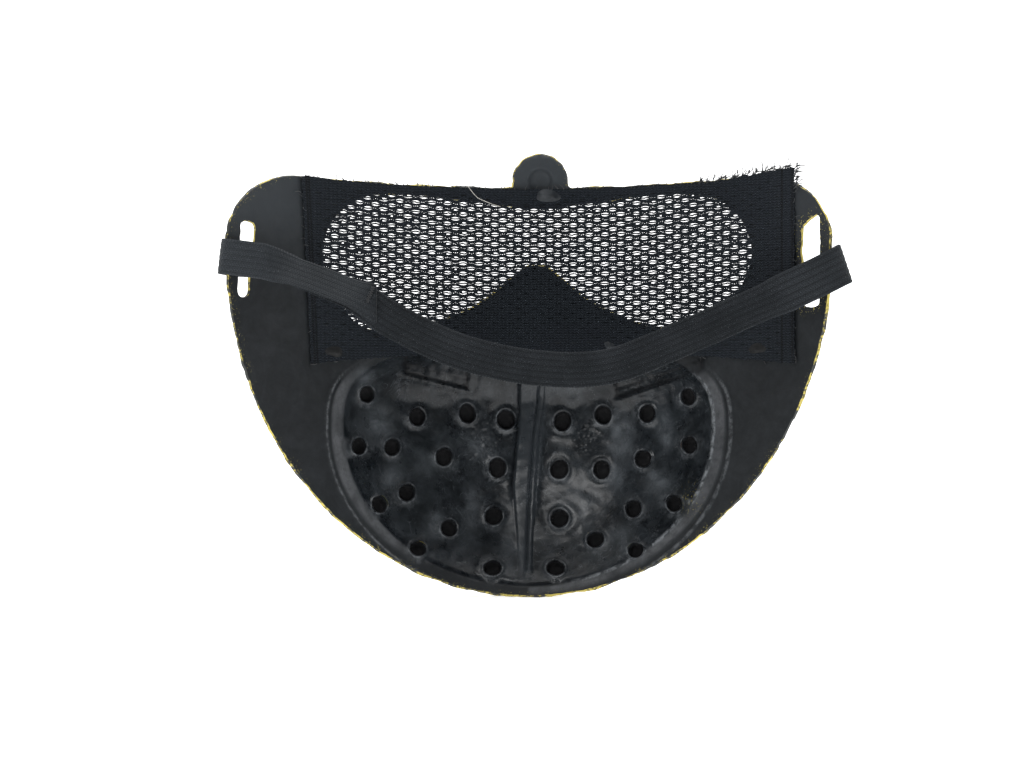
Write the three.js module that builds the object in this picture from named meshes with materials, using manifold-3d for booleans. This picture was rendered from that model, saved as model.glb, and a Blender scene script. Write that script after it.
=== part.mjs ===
// A moulded face mask: a thin formed shell with a wide eye window and a domed muzzle full of blind vents,
// a knitted mesh panel glued behind the window, and one flat elastic strap looped through both slots.
// Millimetres. +Z is up, the mask looks towards -Y, and +X is the wearer's left.
// The origin is midway between the two strap slots, in the plane where the strap crosses behind the face.

import * as THREE from 'three';
import { mergeVertices } from 'three/addons/utils/BufferGeometryUtils.js';
import Module from 'manifold-3d';

const wasm = await Module();
wasm.setup();

// ---------- driving dimensions ----------

const wall = 0.8;               // thickness of the formed sheet
const clearance = 0.35;         // gap kept between pieces that rest on each other

const rim = {
  halfWidth: 106.8,             // half of the width across the cheeks
  chinDrop: 122,                // chin edge below the slots
  browRise: 30.5,               // brow edge above the slots
  browDip: 2.5,                 // how far the brow edge sags at its middle
  cornerRadius: 23,
  sideSweep: 45,                // how far the cheeks curve back
  chinSweep: 25,                // how far the chin curves back
  sweepStart: 20,               // the chin's curve starts this far below the slots
  behind: 1.2,                  // the rim ends this far in front of the strap's plane
};

const muzzle = {
  halfWidth: 69,
  centre: -60,                  // height of its widest line
  chinMargin: 2,                // between its lower edge and the chin's edge
  rise: 30,                     // up to its upper edge
  step: 3.5,                    // wall of the raised edge band
  stepOuter: 1.03,              // the wall runs between these shares of the reach
  stepInner: 0.975,
  dome: 21,                     // bulge inside the band
  domeEdge: 0.97,               // share of the reach where the bulge starts
  domePower: 0.75,              // below 1 the bulge is fuller than a plain dome
};
const muzzleDrop = rim.chinDrop + muzzle.centre - muzzle.chinMargin;

const nose = { depth: 9, topHalfWidth: 11, flare: 0.45, top: 4, full: -20 };

const eyeWindow = {
  offset: -3,                   // its middle lies a little to the wearer's right
  sideMargin: 28.8,             // from the rim's side to its end
  browMargin: 5.3,              // from the brow edge to its highest points
  dip: 4.7,                     // its upper edge is this much lower at its middle
  height: 49.2,                 // from its highest points to the lowest under each eye
  notch: 23,                    // rise of the notch for the nose
  notchHalfWidth: 5,
  lobe: 48,                     // distance from its middle to the middle of each eye
};

// The slots' ends are trimmed by hand: the wearer's right one is longer.
const slot = {
  bar: 3.1,                     // between the slot and the rim's side
  width: 6.1,
  corner: 2,
  leftLow: -13.8,
  leftHigh: 13.8,
  rightLow: -17.2,
  rightHigh: 16.7,
};
const slotOuter = rim.halfWidth - slot.bar;
const slotInner = slotOuter - slot.width;

const tab = {
  centre: -4.5,
  radius: 9.8,
  rise: 10,                     // its top above the brow edge
  root: 2.5,                    // it starts this far below the brow edge
  inset: 0.15,                  // its back lies this far in front of the shell's
  boss: 5.5,                    // radius of the round boss on its front
  bossRise: 1.4,
  dish: 4.4,                    // radius of the dish behind the boss
};
const tabHeight = rim.browRise + tab.rise - tab.radius;

const vent = { mouth: 3.1, floor: 2.5, depth: 3, sides: 8, lean: 0.6 };

// The shell's grid: a fine step over the muzzle and a coarse one outside it.
const grid = { margin: 5, fineBelow: -24, fineX: 5.4, fineZ: 5.2, coarse: 9 };
const cutReach = 20;            // cutting solids pass this far beyond what they cut

// The mesh panel is glued on a little to the wearer's right, close to that side's slot.
const panel = {
  leftMargin: 14.8,             // from the slot's near side to the panel's edge
  rightMargin: 1.6,
  browRise: 0.5,                // its upper corners above the brow edge
  extraDip: 0.9,                // its upper edge sags this much more than the brow edge
  height: 68.5,
  bottomLift: 4.5,              // its lower edge is drawn up at its middle
  thickness: 0.7,
  column: 7,                    // grid step across
  rows: 6,
};
const panelLeft = slotInner - panel.leftMargin;
const panelRight = -(slotInner - panel.rightMargin);
const panelTop = rim.browRise + panel.browRise;
const panelBottom = panelTop - panel.height;

const strap = {
  width: 12.7,
  thickness: 1.2,
  slotReach: 3.6,               // the free run ends this far inside the slots
  joinGap: 0.6,
  layerGap: 0.3,                // between the two layers where a tail lies on the run
  sag: 38,                      // of the free run's lowest point
  leftTail: 39.5,               // length of each tail across the face
  rightTail: 22,
};
const joinAt = slotInner - strap.slotReach;

// ---------- solids and meshes ----------

function toSolid(geometry) {
  const bare = geometry.index ? geometry.clone() : geometry;
  bare.deleteAttribute('normal');
  bare.deleteAttribute('uv');
  const merged = mergeVertices(bare, 1e-4);
  return new wasm.Manifold(new wasm.Mesh({
    numProp: 3,
    vertProperties: new Float32Array(merged.attributes.position.array),
    triVerts: new Uint32Array(merged.index.array),
  }));
}

function toGeometry(solid) {
  const mesh = solid.getMesh();
  const geometry = new THREE.BufferGeometry();
  geometry.setAttribute('position', new THREE.BufferAttribute(new Float32Array(mesh.vertProperties), 3));
  geometry.setIndex(new THREE.BufferAttribute(new Uint32Array(mesh.triVerts), 1));
  geometry.computeVertexNormals();
  return geometry;
}

// A flat outline in X and Z, run along Y from front to back.
function alongY(shape, front, back, curveSegments = 12) {
  const options = { depth: back - front, bevelEnabled: false, curveSegments };
  const geometry = new THREE.ExtrudeGeometry(shape, options);
  geometry.rotateX(Math.PI / 2);
  geometry.translate(0, back, 0);
  return geometry;
}

const smooth = (from, to, value) => {
  const t = Math.min(1, Math.max(0, (value - from) / (to - from)));
  return t * t * (3 - 2 * t);
};

// ---------- the shell's surface ----------

const sideRadius = (rim.halfWidth ** 2 + rim.sideSweep ** 2) / (2 * rim.sideSweep);

// Depth of the plain face surface, without its muzzle and nose.
function faceSurface(x, z) {
  const side = sideRadius - Math.sqrt(sideRadius ** 2 - x * x);
  const below = Math.max(0, -rim.sweepStart - z) / (rim.chinDrop - rim.sweepStart);
  return side - rim.sideSweep - rim.behind + rim.chinSweep * below ** 2;
}

// 0 at the muzzle's middle and 1 on its edge.
function muzzleReach(x, z) {
  const power = z < muzzle.centre ? 2 : 3;
  const height = z < muzzle.centre ? muzzleDrop : muzzle.rise;
  const across = Math.abs(x / muzzle.halfWidth) ** power;
  const along = Math.abs((z - muzzle.centre) / height) ** power;
  return (across + along) ** (1 / power);
}

function muzzleBulge(x, z) {
  const reach = muzzleReach(x, z);
  const inside = Math.min(1, reach / muzzle.domeEdge);
  const wallShare = smooth(muzzle.stepOuter, muzzle.stepInner, reach);
  return muzzle.step * wallShare + muzzle.dome * (1 - inside ** 2) ** muzzle.domePower;
}

function noseBulge(x, z) {
  const halfWidth = nose.topHalfWidth + nose.flare * Math.max(0, -z);
  return nose.depth * smooth(nose.top, nose.full, z) * Math.exp(-((x / halfWidth) ** 2));
}

function shellSurface(x, z) {
  const bulge = muzzleBulge(x, z);
  const share = bulge / (muzzle.step + muzzle.dome);
  return faceSurface(x, z) - bulge - noseBulge(x, z) * (1 - share);
}

// Unit vector out of the back of a surface y = surface(x, z).
function backNormal(surface, x, z) {
  const h = 0.2;
  const slopeX = (surface(x + h, z) - surface(x - h, z)) / (2 * h);
  const slopeZ = (surface(x, z + h) - surface(x, z - h)) / (2 * h);
  return new THREE.Vector3(-slopeX, 1, -slopeZ).normalize();
}

// Grid lines with a fine step inside a middle stretch and a coarse one outside it.
function gridLines(from, to, fineFrom, fineTo, fine, coarse) {
  const lines = [];
  const fill = (a, b, step) => {
    const count = Math.max(1, Math.round((b - a) / step));
    for (let i = 0; i < count; i += 1) lines.push(a + (b - a) * i / count);
  };
  if (fineFrom > from) fill(from, fineFrom, coarse);
  fill(Math.max(from, fineFrom), Math.min(to, fineTo), fine);
  if (fineTo < to) fill(fineTo, to, coarse);
  lines.push(to);
  return lines;
}

// A closed sheet over the grid, from `near` to `far` behind the surface along its normal.
// `heightOf` moves the grid's points up or down, for edges that aren't straight.
function sheet(xs, zs, surface, near, far, heightOf = (x, z) => z) {
  const positions = [];
  const index = [];
  for (const offset of [near, far]) {
    for (const level of zs) {
      for (const x of xs) {
        const z = heightOf(x, level);
        const place = new THREE.Vector3(x, surface(x, z), z);
        place.addScaledVector(backNormal(surface, x, z), offset);
        positions.push(place.x, place.y, place.z);
      }
    }
  }
  const at = (layer, i, j) => layer * xs.length * zs.length + j * xs.length + i;
  const quad = (a, b, c, d) => index.push(a, b, c, a, c, d);
  const right = xs.length - 1;
  const top = zs.length - 1;
  for (let j = 0; j < top; j += 1) {
    for (let i = 0; i < right; i += 1) {
      quad(at(0, i, j), at(0, i + 1, j), at(0, i + 1, j + 1), at(0, i, j + 1));
      quad(at(1, i, j), at(1, i, j + 1), at(1, i + 1, j + 1), at(1, i + 1, j));
    }
    quad(at(0, 0, j), at(0, 0, j + 1), at(1, 0, j + 1), at(1, 0, j));
    quad(at(0, right, j + 1), at(0, right, j), at(1, right, j), at(1, right, j + 1));
  }
  for (let i = 0; i < right; i += 1) {
    quad(at(0, i + 1, 0), at(0, i, 0), at(1, i, 0), at(1, i + 1, 0));
    quad(at(0, i, top), at(0, i + 1, top), at(1, i + 1, top), at(1, i, top));
  }
  const geometry = new THREE.BufferGeometry();
  geometry.setAttribute('position', new THREE.Float32BufferAttribute(positions, 3));
  geometry.setIndex(index);
  return geometry;
}

// ---------- outlines ----------

function rimOutline() {
  const shape = new THREE.Shape();
  const cornerZ = rim.browRise - rim.cornerRadius;
  const cornerX = rim.halfWidth - rim.cornerRadius;
  shape.moveTo(-rim.halfWidth, 0);
  shape.absellipse(0, 0, rim.halfWidth, rim.chinDrop, Math.PI, 2 * Math.PI, false);
  shape.lineTo(rim.halfWidth, cornerZ);
  shape.absarc(cornerX, cornerZ, rim.cornerRadius, 0, Math.PI / 2, false);
  shape.quadraticCurveTo(0, rim.browRise - 2 * rim.browDip, -cornerX, rim.browRise);
  shape.absarc(-cornerX, cornerZ, rim.cornerRadius, Math.PI / 2, Math.PI, false);
  shape.lineTo(-rim.halfWidth, 0);
  return shape;
}

function windowOutline() {
  const { offset, lobe, notchHalfWidth, notch, dip, height } = eyeWindow;
  const end = rim.halfWidth - eyeWindow.sideMargin;
  const top = rim.browRise - eyeWindow.browMargin;
  const bottom = top - height;
  const middle = (top + bottom) / 2;
  const half = [
    [notchHalfWidth, bottom + notch],
    [lobe * 0.45, bottom + notch * 0.38],
    [lobe * 0.8, bottom + notch * 0.065],
    [lobe, bottom],
    [end * 0.82, bottom + height * 0.08],
    [end * 0.95, middle - height * 0.2],
    [end, middle + height * 0.06],
    [end * 0.95, middle + height * 0.3],
    [end * 0.82, top - height * 0.03],
    [lobe, top],
    [lobe * 0.55, top - dip * 0.4],
  ];
  const otherHalf = half.map(([x, z]) => [-x, z]).reverse();
  const points = [...half, [0, top - dip], ...otherHalf].map(([x, z]) => new THREE.Vector2(x + offset, z));
  const shape = new THREE.Shape();
  shape.moveTo(points[0].x, points[0].y);
  shape.splineThru(points.slice(1));
  shape.lineTo(points[0].x, points[0].y);
  return shape;
}

function slotOutline(side, low, high) {
  const shape = new THREE.Shape();
  const r = slot.corner;
  shape.moveTo(slotInner + r, low);
  shape.lineTo(slotOuter - r, low);
  shape.absarc(slotOuter - r, low + r, r, -Math.PI / 2, 0, false);
  shape.lineTo(slotOuter, high - r);
  shape.absarc(slotOuter - r, high - r, r, 0, Math.PI / 2, false);
  shape.lineTo(slotInner + r, high);
  shape.absarc(slotInner + r, high - r, r, Math.PI / 2, Math.PI, false);
  shape.lineTo(slotInner, low + r);
  shape.absarc(slotInner + r, low + r, r, Math.PI, 1.5 * Math.PI, false);
  if (side > 0) return shape;
  return new THREE.Shape(shape.getPoints(3).map((p) => new THREE.Vector2(-p.x, p.y)).reverse());
}

function tabOutline() {
  const shape = new THREE.Shape();
  const bottom = rim.browRise - rim.browDip - tab.root;
  shape.moveTo(tab.centre - tab.radius, bottom);
  shape.lineTo(tab.centre + tab.radius, bottom);
  shape.lineTo(tab.centre + tab.radius, tabHeight);
  shape.absarc(tab.centre, tabHeight, tab.radius, 0, Math.PI, false);
  shape.lineTo(tab.centre - tab.radius, bottom);
  return shape;
}

function disc(radius) {
  const shape = new THREE.Shape();
  shape.absarc(tab.centre, tabHeight, radius, 0, 2 * Math.PI, false);
  return shape;
}

// ---------- vents ----------

// Middle of each vent, as shares of the muzzle's half-width and of its drop below its widest line.
const vents = [
  [0.86, -0.19], [0.6, -0.05], [0.33, -0.07], [0.12, -0.03], [-0.19, -0.02], [-0.41, -0.06],
  [-0.645, -0.07], [-0.855, -0.175], [0.9, 0.125], [0.73, 0.135], [0.455, 0.2], [0.165, 0.27],
  [-0.17, 0.28], [-0.4, 0.28], [-0.62, 0.21], [-0.86, 0.12], [0.65, 0.415], [0.79, 0.48],
  [0.185, 0.565], [-0.17, 0.58], [-0.565, 0.515], [-0.775, 0.475], [0.425, 0.635], [-0.36, 0.705],
  [0.585, 0.75], [-0.57, 0.76], [0.19, 0.875], [-0.145, 0.875],
];

// A round plug along the shell's normal at a vent, from `start` to `end` behind the inner surface.
function ventPlug([u, v], startRadius, endRadius, start, end) {
  const x = u * muzzle.halfWidth;
  const z = muzzle.centre - v * muzzleDrop;
  const along = new THREE.Vector3(0, 1, 0).lerp(backNormal(shellSurface, x, z), vent.lean).normalize();
  const geometry = new THREE.CylinderGeometry(endRadius, startRadius, end - start, vent.sides);
  geometry.translate(0, (start + end) / 2, 0);
  geometry.applyQuaternion(new THREE.Quaternion().setFromUnitVectors(new THREE.Vector3(0, 1, 0), along));
  geometry.translate(x, shellSurface(x, z), z);
  return toSolid(geometry);
}

// ---------- face shell ----------

function makeShell() {
  const edgeX = rim.halfWidth + grid.margin;
  const fine = muzzle.halfWidth + 4;
  const xs = gridLines(-edgeX, edgeX, -fine, fine, grid.fineX, grid.coarse);
  const [low, high] = [-rim.chinDrop - grid.margin, rim.browRise + grid.margin];
  const zs = gridLines(low, high, -rim.chinDrop, grid.fineBelow, grid.fineZ, grid.coarse);
  const front = -rim.sideSweep - muzzle.step - muzzle.dome - cutReach;
  let solid = toSolid(sheet(xs, zs, shellSurface, -wall, 0));
  solid = solid.intersect(toSolid(alongY(rimOutline(), front, cutReach, 14)));

  const plateBack = faceSurface(0, 0) - tab.inset;
  const plateFront = plateBack - wall;
  const bossFront = plateFront - tab.bossRise;
  solid = solid.add(toSolid(alongY(tabOutline(), plateFront, plateBack, 8)));
  solid = solid.add(toSolid(alongY(disc(tab.boss), bossFront, plateBack - wall / 4, 10)));
  solid = solid.subtract(toSolid(alongY(disc(tab.dish), bossFront + wall, plateBack + wall, 10)));

  for (const place of vents) {
    solid = solid.add(ventPlug(place, vent.floor + wall, vent.mouth + wall, -vent.depth - wall, -wall / 2));
  }
  for (const place of vents) {
    solid = solid.subtract(ventPlug(place, vent.floor, vent.mouth, -vent.depth, 2 * wall));
  }
  solid = solid.subtract(toSolid(alongY(windowOutline(), front, cutReach, 2)));
  solid = solid.subtract(toSolid(alongY(slotOutline(1, slot.leftLow, slot.leftHigh), front, cutReach, 3)));
  solid = solid.subtract(toSolid(alongY(slotOutline(-1, slot.rightLow, slot.rightHigh), front, cutReach, 3)));
  return toGeometry(solid);
}

// ---------- eye mesh ----------

function makePanel() {
  const centre = (panelLeft + panelRight) / 2;
  const halfWidth = (panelLeft - panelRight) / 2;
  const xs = gridLines(panelRight, panelLeft, panelRight, panelLeft, panel.column, panel.column);
  const levels = Array.from({ length: panel.rows + 1 }, (unused, i) => i / panel.rows);
  const heightOf = (x, level) => {
    const middle = 1 - ((x - centre) / halfWidth) ** 2;
    const bottom = panelBottom + panel.bottomLift * middle;
    const top = panelTop - (rim.browDip + panel.extraDip) * middle;
    return bottom + (top - bottom) * level;
  };
  const geometry = sheet(xs, levels, faceSurface, clearance, clearance + panel.thickness, heightOf);
  return toGeometry(toSolid(geometry));
}

// ---------- strap ----------

// Height of the strap's middle line where it leaves each loop, and its slope out to the bar.
const leftLoop = { height: -1.1, slope: 0.115 };
const rightLoop = { height: -10.9, slope: 0.49 };

// Middle line of the free run: how far across, from the wearer's left end (1) to the right one (-1),
// and how far it has sagged below the left end, as a share of the sag.
const runSag = [
  [1, 0], [0.86, 0.155], [0.71, 0.31], [0.575, 0.47], [0.485, 0.59], [0.395, 0.705], [0.3, 0.81],
  [0.18, 0.9], [0.06, 0.965], [-0.06, 1.005], [-0.19, 1.015], [-0.3, 0.985], [-0.435, 0.875],
  [-0.65, 0.645], [-0.87, 0.4], [-1, null],
];
const runPath = runSag.map(([across, share]) => [
  across * joinAt,
  share === null ? rightLoop.height : leftLoop.height - share * strap.sag,
]);

// A tail keeps to the free run's line; the left one rides a little high at its end.
function tailPath(side, length, slope, curl) {
  const start = side > 0 ? leftLoop.height : rightLoop.height;
  return [0, 0.35, 0.7, 1].map((t) => [
    side * (joinAt - t * length),
    start - slope * t * length - curl * t * (1 - t),
  ]);
}
const leftTailPath = tailPath(1, strap.leftTail, 0.378, -2.5);
const rightTailPath = tailPath(-1, strap.rightTail, 0.445, 0).reverse();

// Outline of a band of the strap's width along a path; ends on a join are cut square to X.
function bandOutline(path, steps) {
  const curve = new THREE.SplineCurve(path.map(([x, z]) => new THREE.Vector2(x, z)));
  const upper = [];
  const lower = [];
  for (let i = 0; i <= steps; i += 1) {
    const place = curve.getPoint(i / steps);
    const along = curve.getTangent(i / steps);
    const half = strap.width / 2;
    const square = joinAt - Math.abs(place.x) < 0.01;
    const acrossX = square ? 0 : -along.y * half;
    const acrossZ = square ? half / along.x : along.x * half;
    upper.push(new THREE.Vector2(place.x + acrossX, place.y + acrossZ));
    lower.unshift(new THREE.Vector2(place.x - acrossX, place.y - acrossZ));
  }
  return new THREE.Shape([...upper, ...lower]);
}

function makeBand(path, middle, steps) {
  const half = strap.thickness / 2;
  return toGeometry(toSolid(alongY(bandOutline(path, steps), middle - half, middle + half)));
}

const layer = strap.thickness + strap.layerGap;

// A loop round the bar outside a slot, drawn in plan from the free run's end to the tail's start.
function makeLoop(side, plan, { height, slope }) {
  const places = plan.map(([x, y]) => new THREE.Vector3(x, y, 0));
  const curve = new THREE.CatmullRomCurve3(places, false, 'centripetal');
  const steps = 30;
  const outer = [];
  const inner = [];
  for (let i = 0; i <= steps; i += 1) {
    const place = curve.getPoint(i / steps);
    const along = curve.getTangent(i / steps);
    const half = strap.thickness / 2;
    const atEnd = i === 0 || i === steps;
    const across = atEnd ? new THREE.Vector2(0, Math.sign(along.x)) : new THREE.Vector2(-along.y, along.x);
    outer.push(new THREE.Vector2(place.x + across.x * half, place.y + across.y * half));
    inner.unshift(new THREE.Vector2(place.x - across.x * half, place.y - across.y * half));
  }
  const tall = strap.width * Math.hypot(1, slope);
  const outline = [...outer, ...inner].map((p) => new THREE.Vector2(side * p.x, p.y));
  const geometry = new THREE.ExtrudeGeometry(new THREE.Shape(outline), { depth: tall, bevelEnabled: false });
  const position = geometry.attributes.position;
  for (let i = 0; i < position.count; i += 1) {
    const rise = height + slope * (side * position.getX(i) - joinAt) - tall / 2;
    position.setZ(i, position.getZ(i) + rise);
  }
  return toGeometry(toSolid(geometry));
}

const loopEnd = joinAt + strap.joinGap;
const barBack = faceSurface(slotOuter, 0);    // depth of the bar's edge at the slot
const edgeX = rim.halfWidth;

// On the wearer's left the run goes out through the slot, round the bar, and its tail lies behind it.
const leftPlan = [
  [loopEnd, 0], [slotInner + 1.2, -0.6], [slotOuter - 2.4, barBack + 1.1], [slotOuter - 1.5, barBack - 1.3],
  [slotOuter - 0.4, barBack - 2.9], [slotOuter + 1.4, barBack - 2.7], [edgeX + 0.9, barBack / 2 - 2.6],
  [edgeX + 2.6, -2.2], [edgeX + 2.5, 0], [edgeX + 0.8, layer - 0.1], [slotOuter, layer], [loopEnd, layer],
];

// On the wearer's right the run passes behind the bar and its tail comes back through the slot, in front.
const rightPlan = [
  [loopEnd, 0], [slotOuter, 0], [edgeX + 3.6, -0.1], [edgeX + 6, -0.9], [edgeX + 6.8, -2.6],
  [edgeX + 5.4, -4.4], [edgeX + 1.6, barBack - 2.1], [slotOuter + 1, barBack - 3.3],
  [slotOuter - 0.9, barBack - 3.1], [slotOuter - 2.2, barBack - 1.1], [slotOuter - 3.6, barBack + 1.1],
  [slotInner + 0.2, -layer - 0.3], [loopEnd, -layer],
];

// A bar of close zigzag stitches across a tail's end.
function makeBarTack(path, side) {
  const size = { across: 1.6, along: strap.width - 2.7, proud: 0.6, inset: 2.8, gap: 0.25 };
  const end = new THREE.Vector2(...path[side > 0 ? path.length - 1 : 0]);
  const before = new THREE.Vector2(...path[side > 0 ? path.length - 2 : 1]);
  const inward = before.sub(end).normalize();
  const place = end.addScaledVector(inward, size.inset);
  const geometry = new THREE.CylinderGeometry(size.across / 2, size.across / 2, size.along, 8);
  geometry.rotateX(Math.PI / 2);
  geometry.scale(1, size.proud / size.across, 1);
  geometry.rotateY(-Math.atan2(inward.y, inward.x * side) * side);
  const depth = layer + strap.thickness / 2 + size.gap + size.proud / 2;
  geometry.translate(place.x, side * depth, place.y);
  return geometry;
}

// ---------- glue ----------

const glueRise = 0.9;

// A low bead of hot-melt glue that has come through the mesh panel.
function makeGlueBead(x, z, radius, stretch) {
  const profile = [[1, 0], [0.92, 0.4], [0.6, 0.85]].map(([r, y]) => [r * radius, y * glueRise]);
  const points = [[0, 0], ...profile, [0, glueRise]].map(([r, y]) => new THREE.Vector2(r, y));
  const geometry = new THREE.LatheGeometry(points, 12);
  geometry.scale(stretch, 1, 1);
  const normal = backNormal(faceSurface, x, z);
  geometry.applyQuaternion(new THREE.Quaternion().setFromUnitVectors(new THREE.Vector3(0, 1, 0), normal));
  const place = new THREE.Vector3(x, faceSurface(x, z), z);
  place.addScaledVector(normal, 2 * clearance + panel.thickness);
  geometry.translate(place.x, place.y, place.z);
  return toGeometry(toSolid(geometry));
}

// ---------- the assembly ----------

const group = new THREE.Group();

function addMesh(name, geometry, color, roughness) {
  const material = new THREE.MeshStandardMaterial({ color, roughness, metalness: 0 });
  const mesh = new THREE.Mesh(geometry, material);
  mesh.name = name;
  group.add(mesh);
}

const shellColor = 0x282b2e;
const meshColor = 0x14181c;
const elasticColor = 0x2a2d31;
const threadColor = 0x101214;
const glueColor = 0xb9bcb8;

addMesh('face_shell', makeShell(), shellColor, 0.42);
addMesh('eye_mesh', makePanel(), meshColor, 0.9);
addMesh('strap_run', makeBand(runPath, 0, 40), elasticColor, 0.85);
addMesh('strap_tail_left', makeBand(leftTailPath, layer, 10), elasticColor, 0.85);
addMesh('strap_tail_right', makeBand(rightTailPath, -layer, 6), elasticColor, 0.85);
addMesh('strap_loop_left', makeLoop(1, leftPlan, leftLoop), elasticColor, 0.85);
addMesh('strap_loop_right', makeLoop(-1, rightPlan, rightLoop), elasticColor, 0.85);
addMesh('bar_tack_left', makeBarTack(leftTailPath, 1), threadColor, 0.8);
addMesh('bar_tack_right', makeBarTack(rightTailPath, -1), threadColor, 0.8);
addMesh('glue_bead_brow', makeGlueBead(-7.5, panelTop - 6, 2.2, 2.4), glueColor, 0.35);
addMesh('glue_bead_nose', makeGlueBead(-30.5, panelBottom + 6.8, 1.6, 1.3), glueColor, 0.35);
addMesh('glue_bead_left', makeGlueBead(panelLeft - 11, panelBottom + 4.5, 2.4, 1.5), glueColor, 0.35);
addMesh('glue_bead_right', makeGlueBead(panelRight + 12, panelBottom + 5.5, 2.4, 1.5), glueColor, 0.35);

export default group;
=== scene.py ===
import math

import bpy
import numpy as np
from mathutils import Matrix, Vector
from mathutils.geometry import delaunay_2d_cdt


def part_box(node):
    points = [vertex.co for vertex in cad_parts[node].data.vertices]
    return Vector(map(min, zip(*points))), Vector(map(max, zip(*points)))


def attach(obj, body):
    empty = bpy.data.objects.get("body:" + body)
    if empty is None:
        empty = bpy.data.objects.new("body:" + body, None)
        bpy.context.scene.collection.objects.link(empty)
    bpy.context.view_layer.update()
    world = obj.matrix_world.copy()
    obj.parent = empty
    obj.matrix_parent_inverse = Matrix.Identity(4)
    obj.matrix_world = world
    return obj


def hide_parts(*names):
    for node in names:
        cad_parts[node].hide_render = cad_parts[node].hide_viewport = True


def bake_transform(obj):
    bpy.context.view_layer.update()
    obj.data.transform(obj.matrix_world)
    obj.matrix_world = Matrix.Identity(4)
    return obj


# A moulded face mask seen from behind, as it goes on the face: a thin black shell with a painted front,
# a knitted mesh glued behind its eye window, and a flat elastic strap through a slot on each side.
# Helper functions work in millimetres in the part's frame (+X the wearer's left, -Y the mask's front, +Z up);
# add_mesh() turns them into metres.

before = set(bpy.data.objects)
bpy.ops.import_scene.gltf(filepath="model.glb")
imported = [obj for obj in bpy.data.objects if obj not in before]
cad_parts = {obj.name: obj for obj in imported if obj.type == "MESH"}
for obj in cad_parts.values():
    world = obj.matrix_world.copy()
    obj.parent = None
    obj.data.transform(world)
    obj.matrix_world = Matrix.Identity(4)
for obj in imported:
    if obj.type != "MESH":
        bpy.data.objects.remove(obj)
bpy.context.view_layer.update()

MM = 0.001
rng = np.random.default_rng(11)


def box_mm(node):
    low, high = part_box(node)
    return np.array(low) / MM, np.array(high) / MM


shell_low, shell_high = box_mm("face_shell")
panel_low, panel_high = box_mm("eye_mesh")
run_high = box_mm("strap_run")[1]
tail_left_low = box_mm("strap_tail_left")[0]
tail_right_high = box_mm("strap_tail_right")[1]

# ---------- camera ----------

CAMERA_DISTANCE = 1.0          # metres
VIEW_WIDTH = 0.3635            # metres seen across at the strap's plane
VIEW_CENTRE = (0.006, -0.0438)  # X and Z that the camera looks at, in metres

camera_data = bpy.data.cameras.new("camera")
camera_data.sensor_width = 36
camera_data.lens = camera_data.sensor_width * CAMERA_DISTANCE / VIEW_WIDTH
camera = bpy.data.objects.new("camera", camera_data)
camera.location = (VIEW_CENTRE[0], CAMERA_DISTANCE, VIEW_CENTRE[1])
camera.rotation_euler = (math.pi / 2, 0, math.pi)
bpy.context.scene.collection.objects.link(camera)
bpy.context.scene.camera = camera

# ---------- sizes, in millimetres ----------

WALL = 0.8
HALF_WIDTH = float(shell_high[0])
CHIN_DROP = float(-shell_low[2])
BROW_RISE = float(panel_high[2]) - 0.5
BROW_DIP = 2.5
CORNER_RADIUS = 23
SIDE_SWEEP = 45
CHIN_SWEEP = 25
SWEEP_START = 20
RIM_BEHIND = 1.2
SIDE_RADIUS = (HALF_WIDTH ** 2 + SIDE_SWEEP ** 2) / (2 * SIDE_SWEEP)

MUZZLE_HALF = 69
MUZZLE_CENTRE = -60
MUZZLE_DROP = CHIN_DROP + MUZZLE_CENTRE - 2
MUZZLE_RISE = 30
MUZZLE_STEP = 3.5
MUZZLE_DOME = 21

NOSE_DEPTH = 9
TAB_X = -4.5
TAB_RADIUS = 9.8
TAB_Z = float(shell_high[2]) - TAB_RADIUS
TAB_DEPTH = -46.35             # depth of the tab's back face
DISH_RADIUS = 4.4
DISH_DEPTH = 1.4

WINDOW_X = -3
WINDOW_HALF = HALF_WIDTH - 28.8
WINDOW_TOP = BROW_RISE - 5.3
WINDOW_DIP = 4.7
WINDOW_HEIGHT = 49.2
NOTCH_RISE = 23
NOTCH_HALF = 3.6
EYE_X = 48

SLOT_OUTER = HALF_WIDTH - 3.1
SLOT_INNER = SLOT_OUTER - 6.1
SLOTS = ((1, -13.8, 13.8), (-1, -17.2, 16.7))   # side, lowest, highest

VENT_MOUTH = 3.1
VENT_FLOOR = 2.5
VENT_DEPTH = 3.0
VENT_LEAN = 0.6
# Middle of each vent, as shares of the muzzle's half-width and of its drop below its widest line.
VENTS = (
    (0.86, -0.19), (0.6, -0.05), (0.33, -0.07), (0.12, -0.03), (-0.19, -0.02), (-0.41, -0.06),
    (-0.645, -0.07), (-0.855, -0.175), (0.9, 0.125), (0.73, 0.135), (0.455, 0.2), (0.165, 0.27),
    (-0.17, 0.28), (-0.4, 0.28), (-0.62, 0.21), (-0.86, 0.12), (0.65, 0.415), (0.79, 0.48),
    (0.185, 0.565), (-0.17, 0.58), (-0.565, 0.515), (-0.775, 0.475), (0.425, 0.635), (-0.36, 0.705),
    (0.585, 0.75), (-0.57, 0.76), (0.19, 0.875), (-0.145, 0.875),
)

PANEL_LEFT = float(panel_high[0])
PANEL_RIGHT = float(panel_low[0])
PANEL_TOP = float(panel_high[2])
PANEL_BOTTOM = float(panel_low[2])
PANEL_DIP = 3.4
PANEL_LIFT = 4.5
PANEL_GAP = 0.45               # from the shell to the mesh
PANEL_THICK = 0.32

STRAP_WIDTH = 12.7
STRAP_THICK = 1.2
STRAP_LAYER = STRAP_THICK + 0.3
STRAP_JOIN = float(run_high[0])
STRAP_SAG = 38


# ---------- helpers ----------

def smooth(start, end, value):
    t = np.clip((value - start) / (end - start), 0, 1)
    return t * t * (3 - 2 * t)


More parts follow.
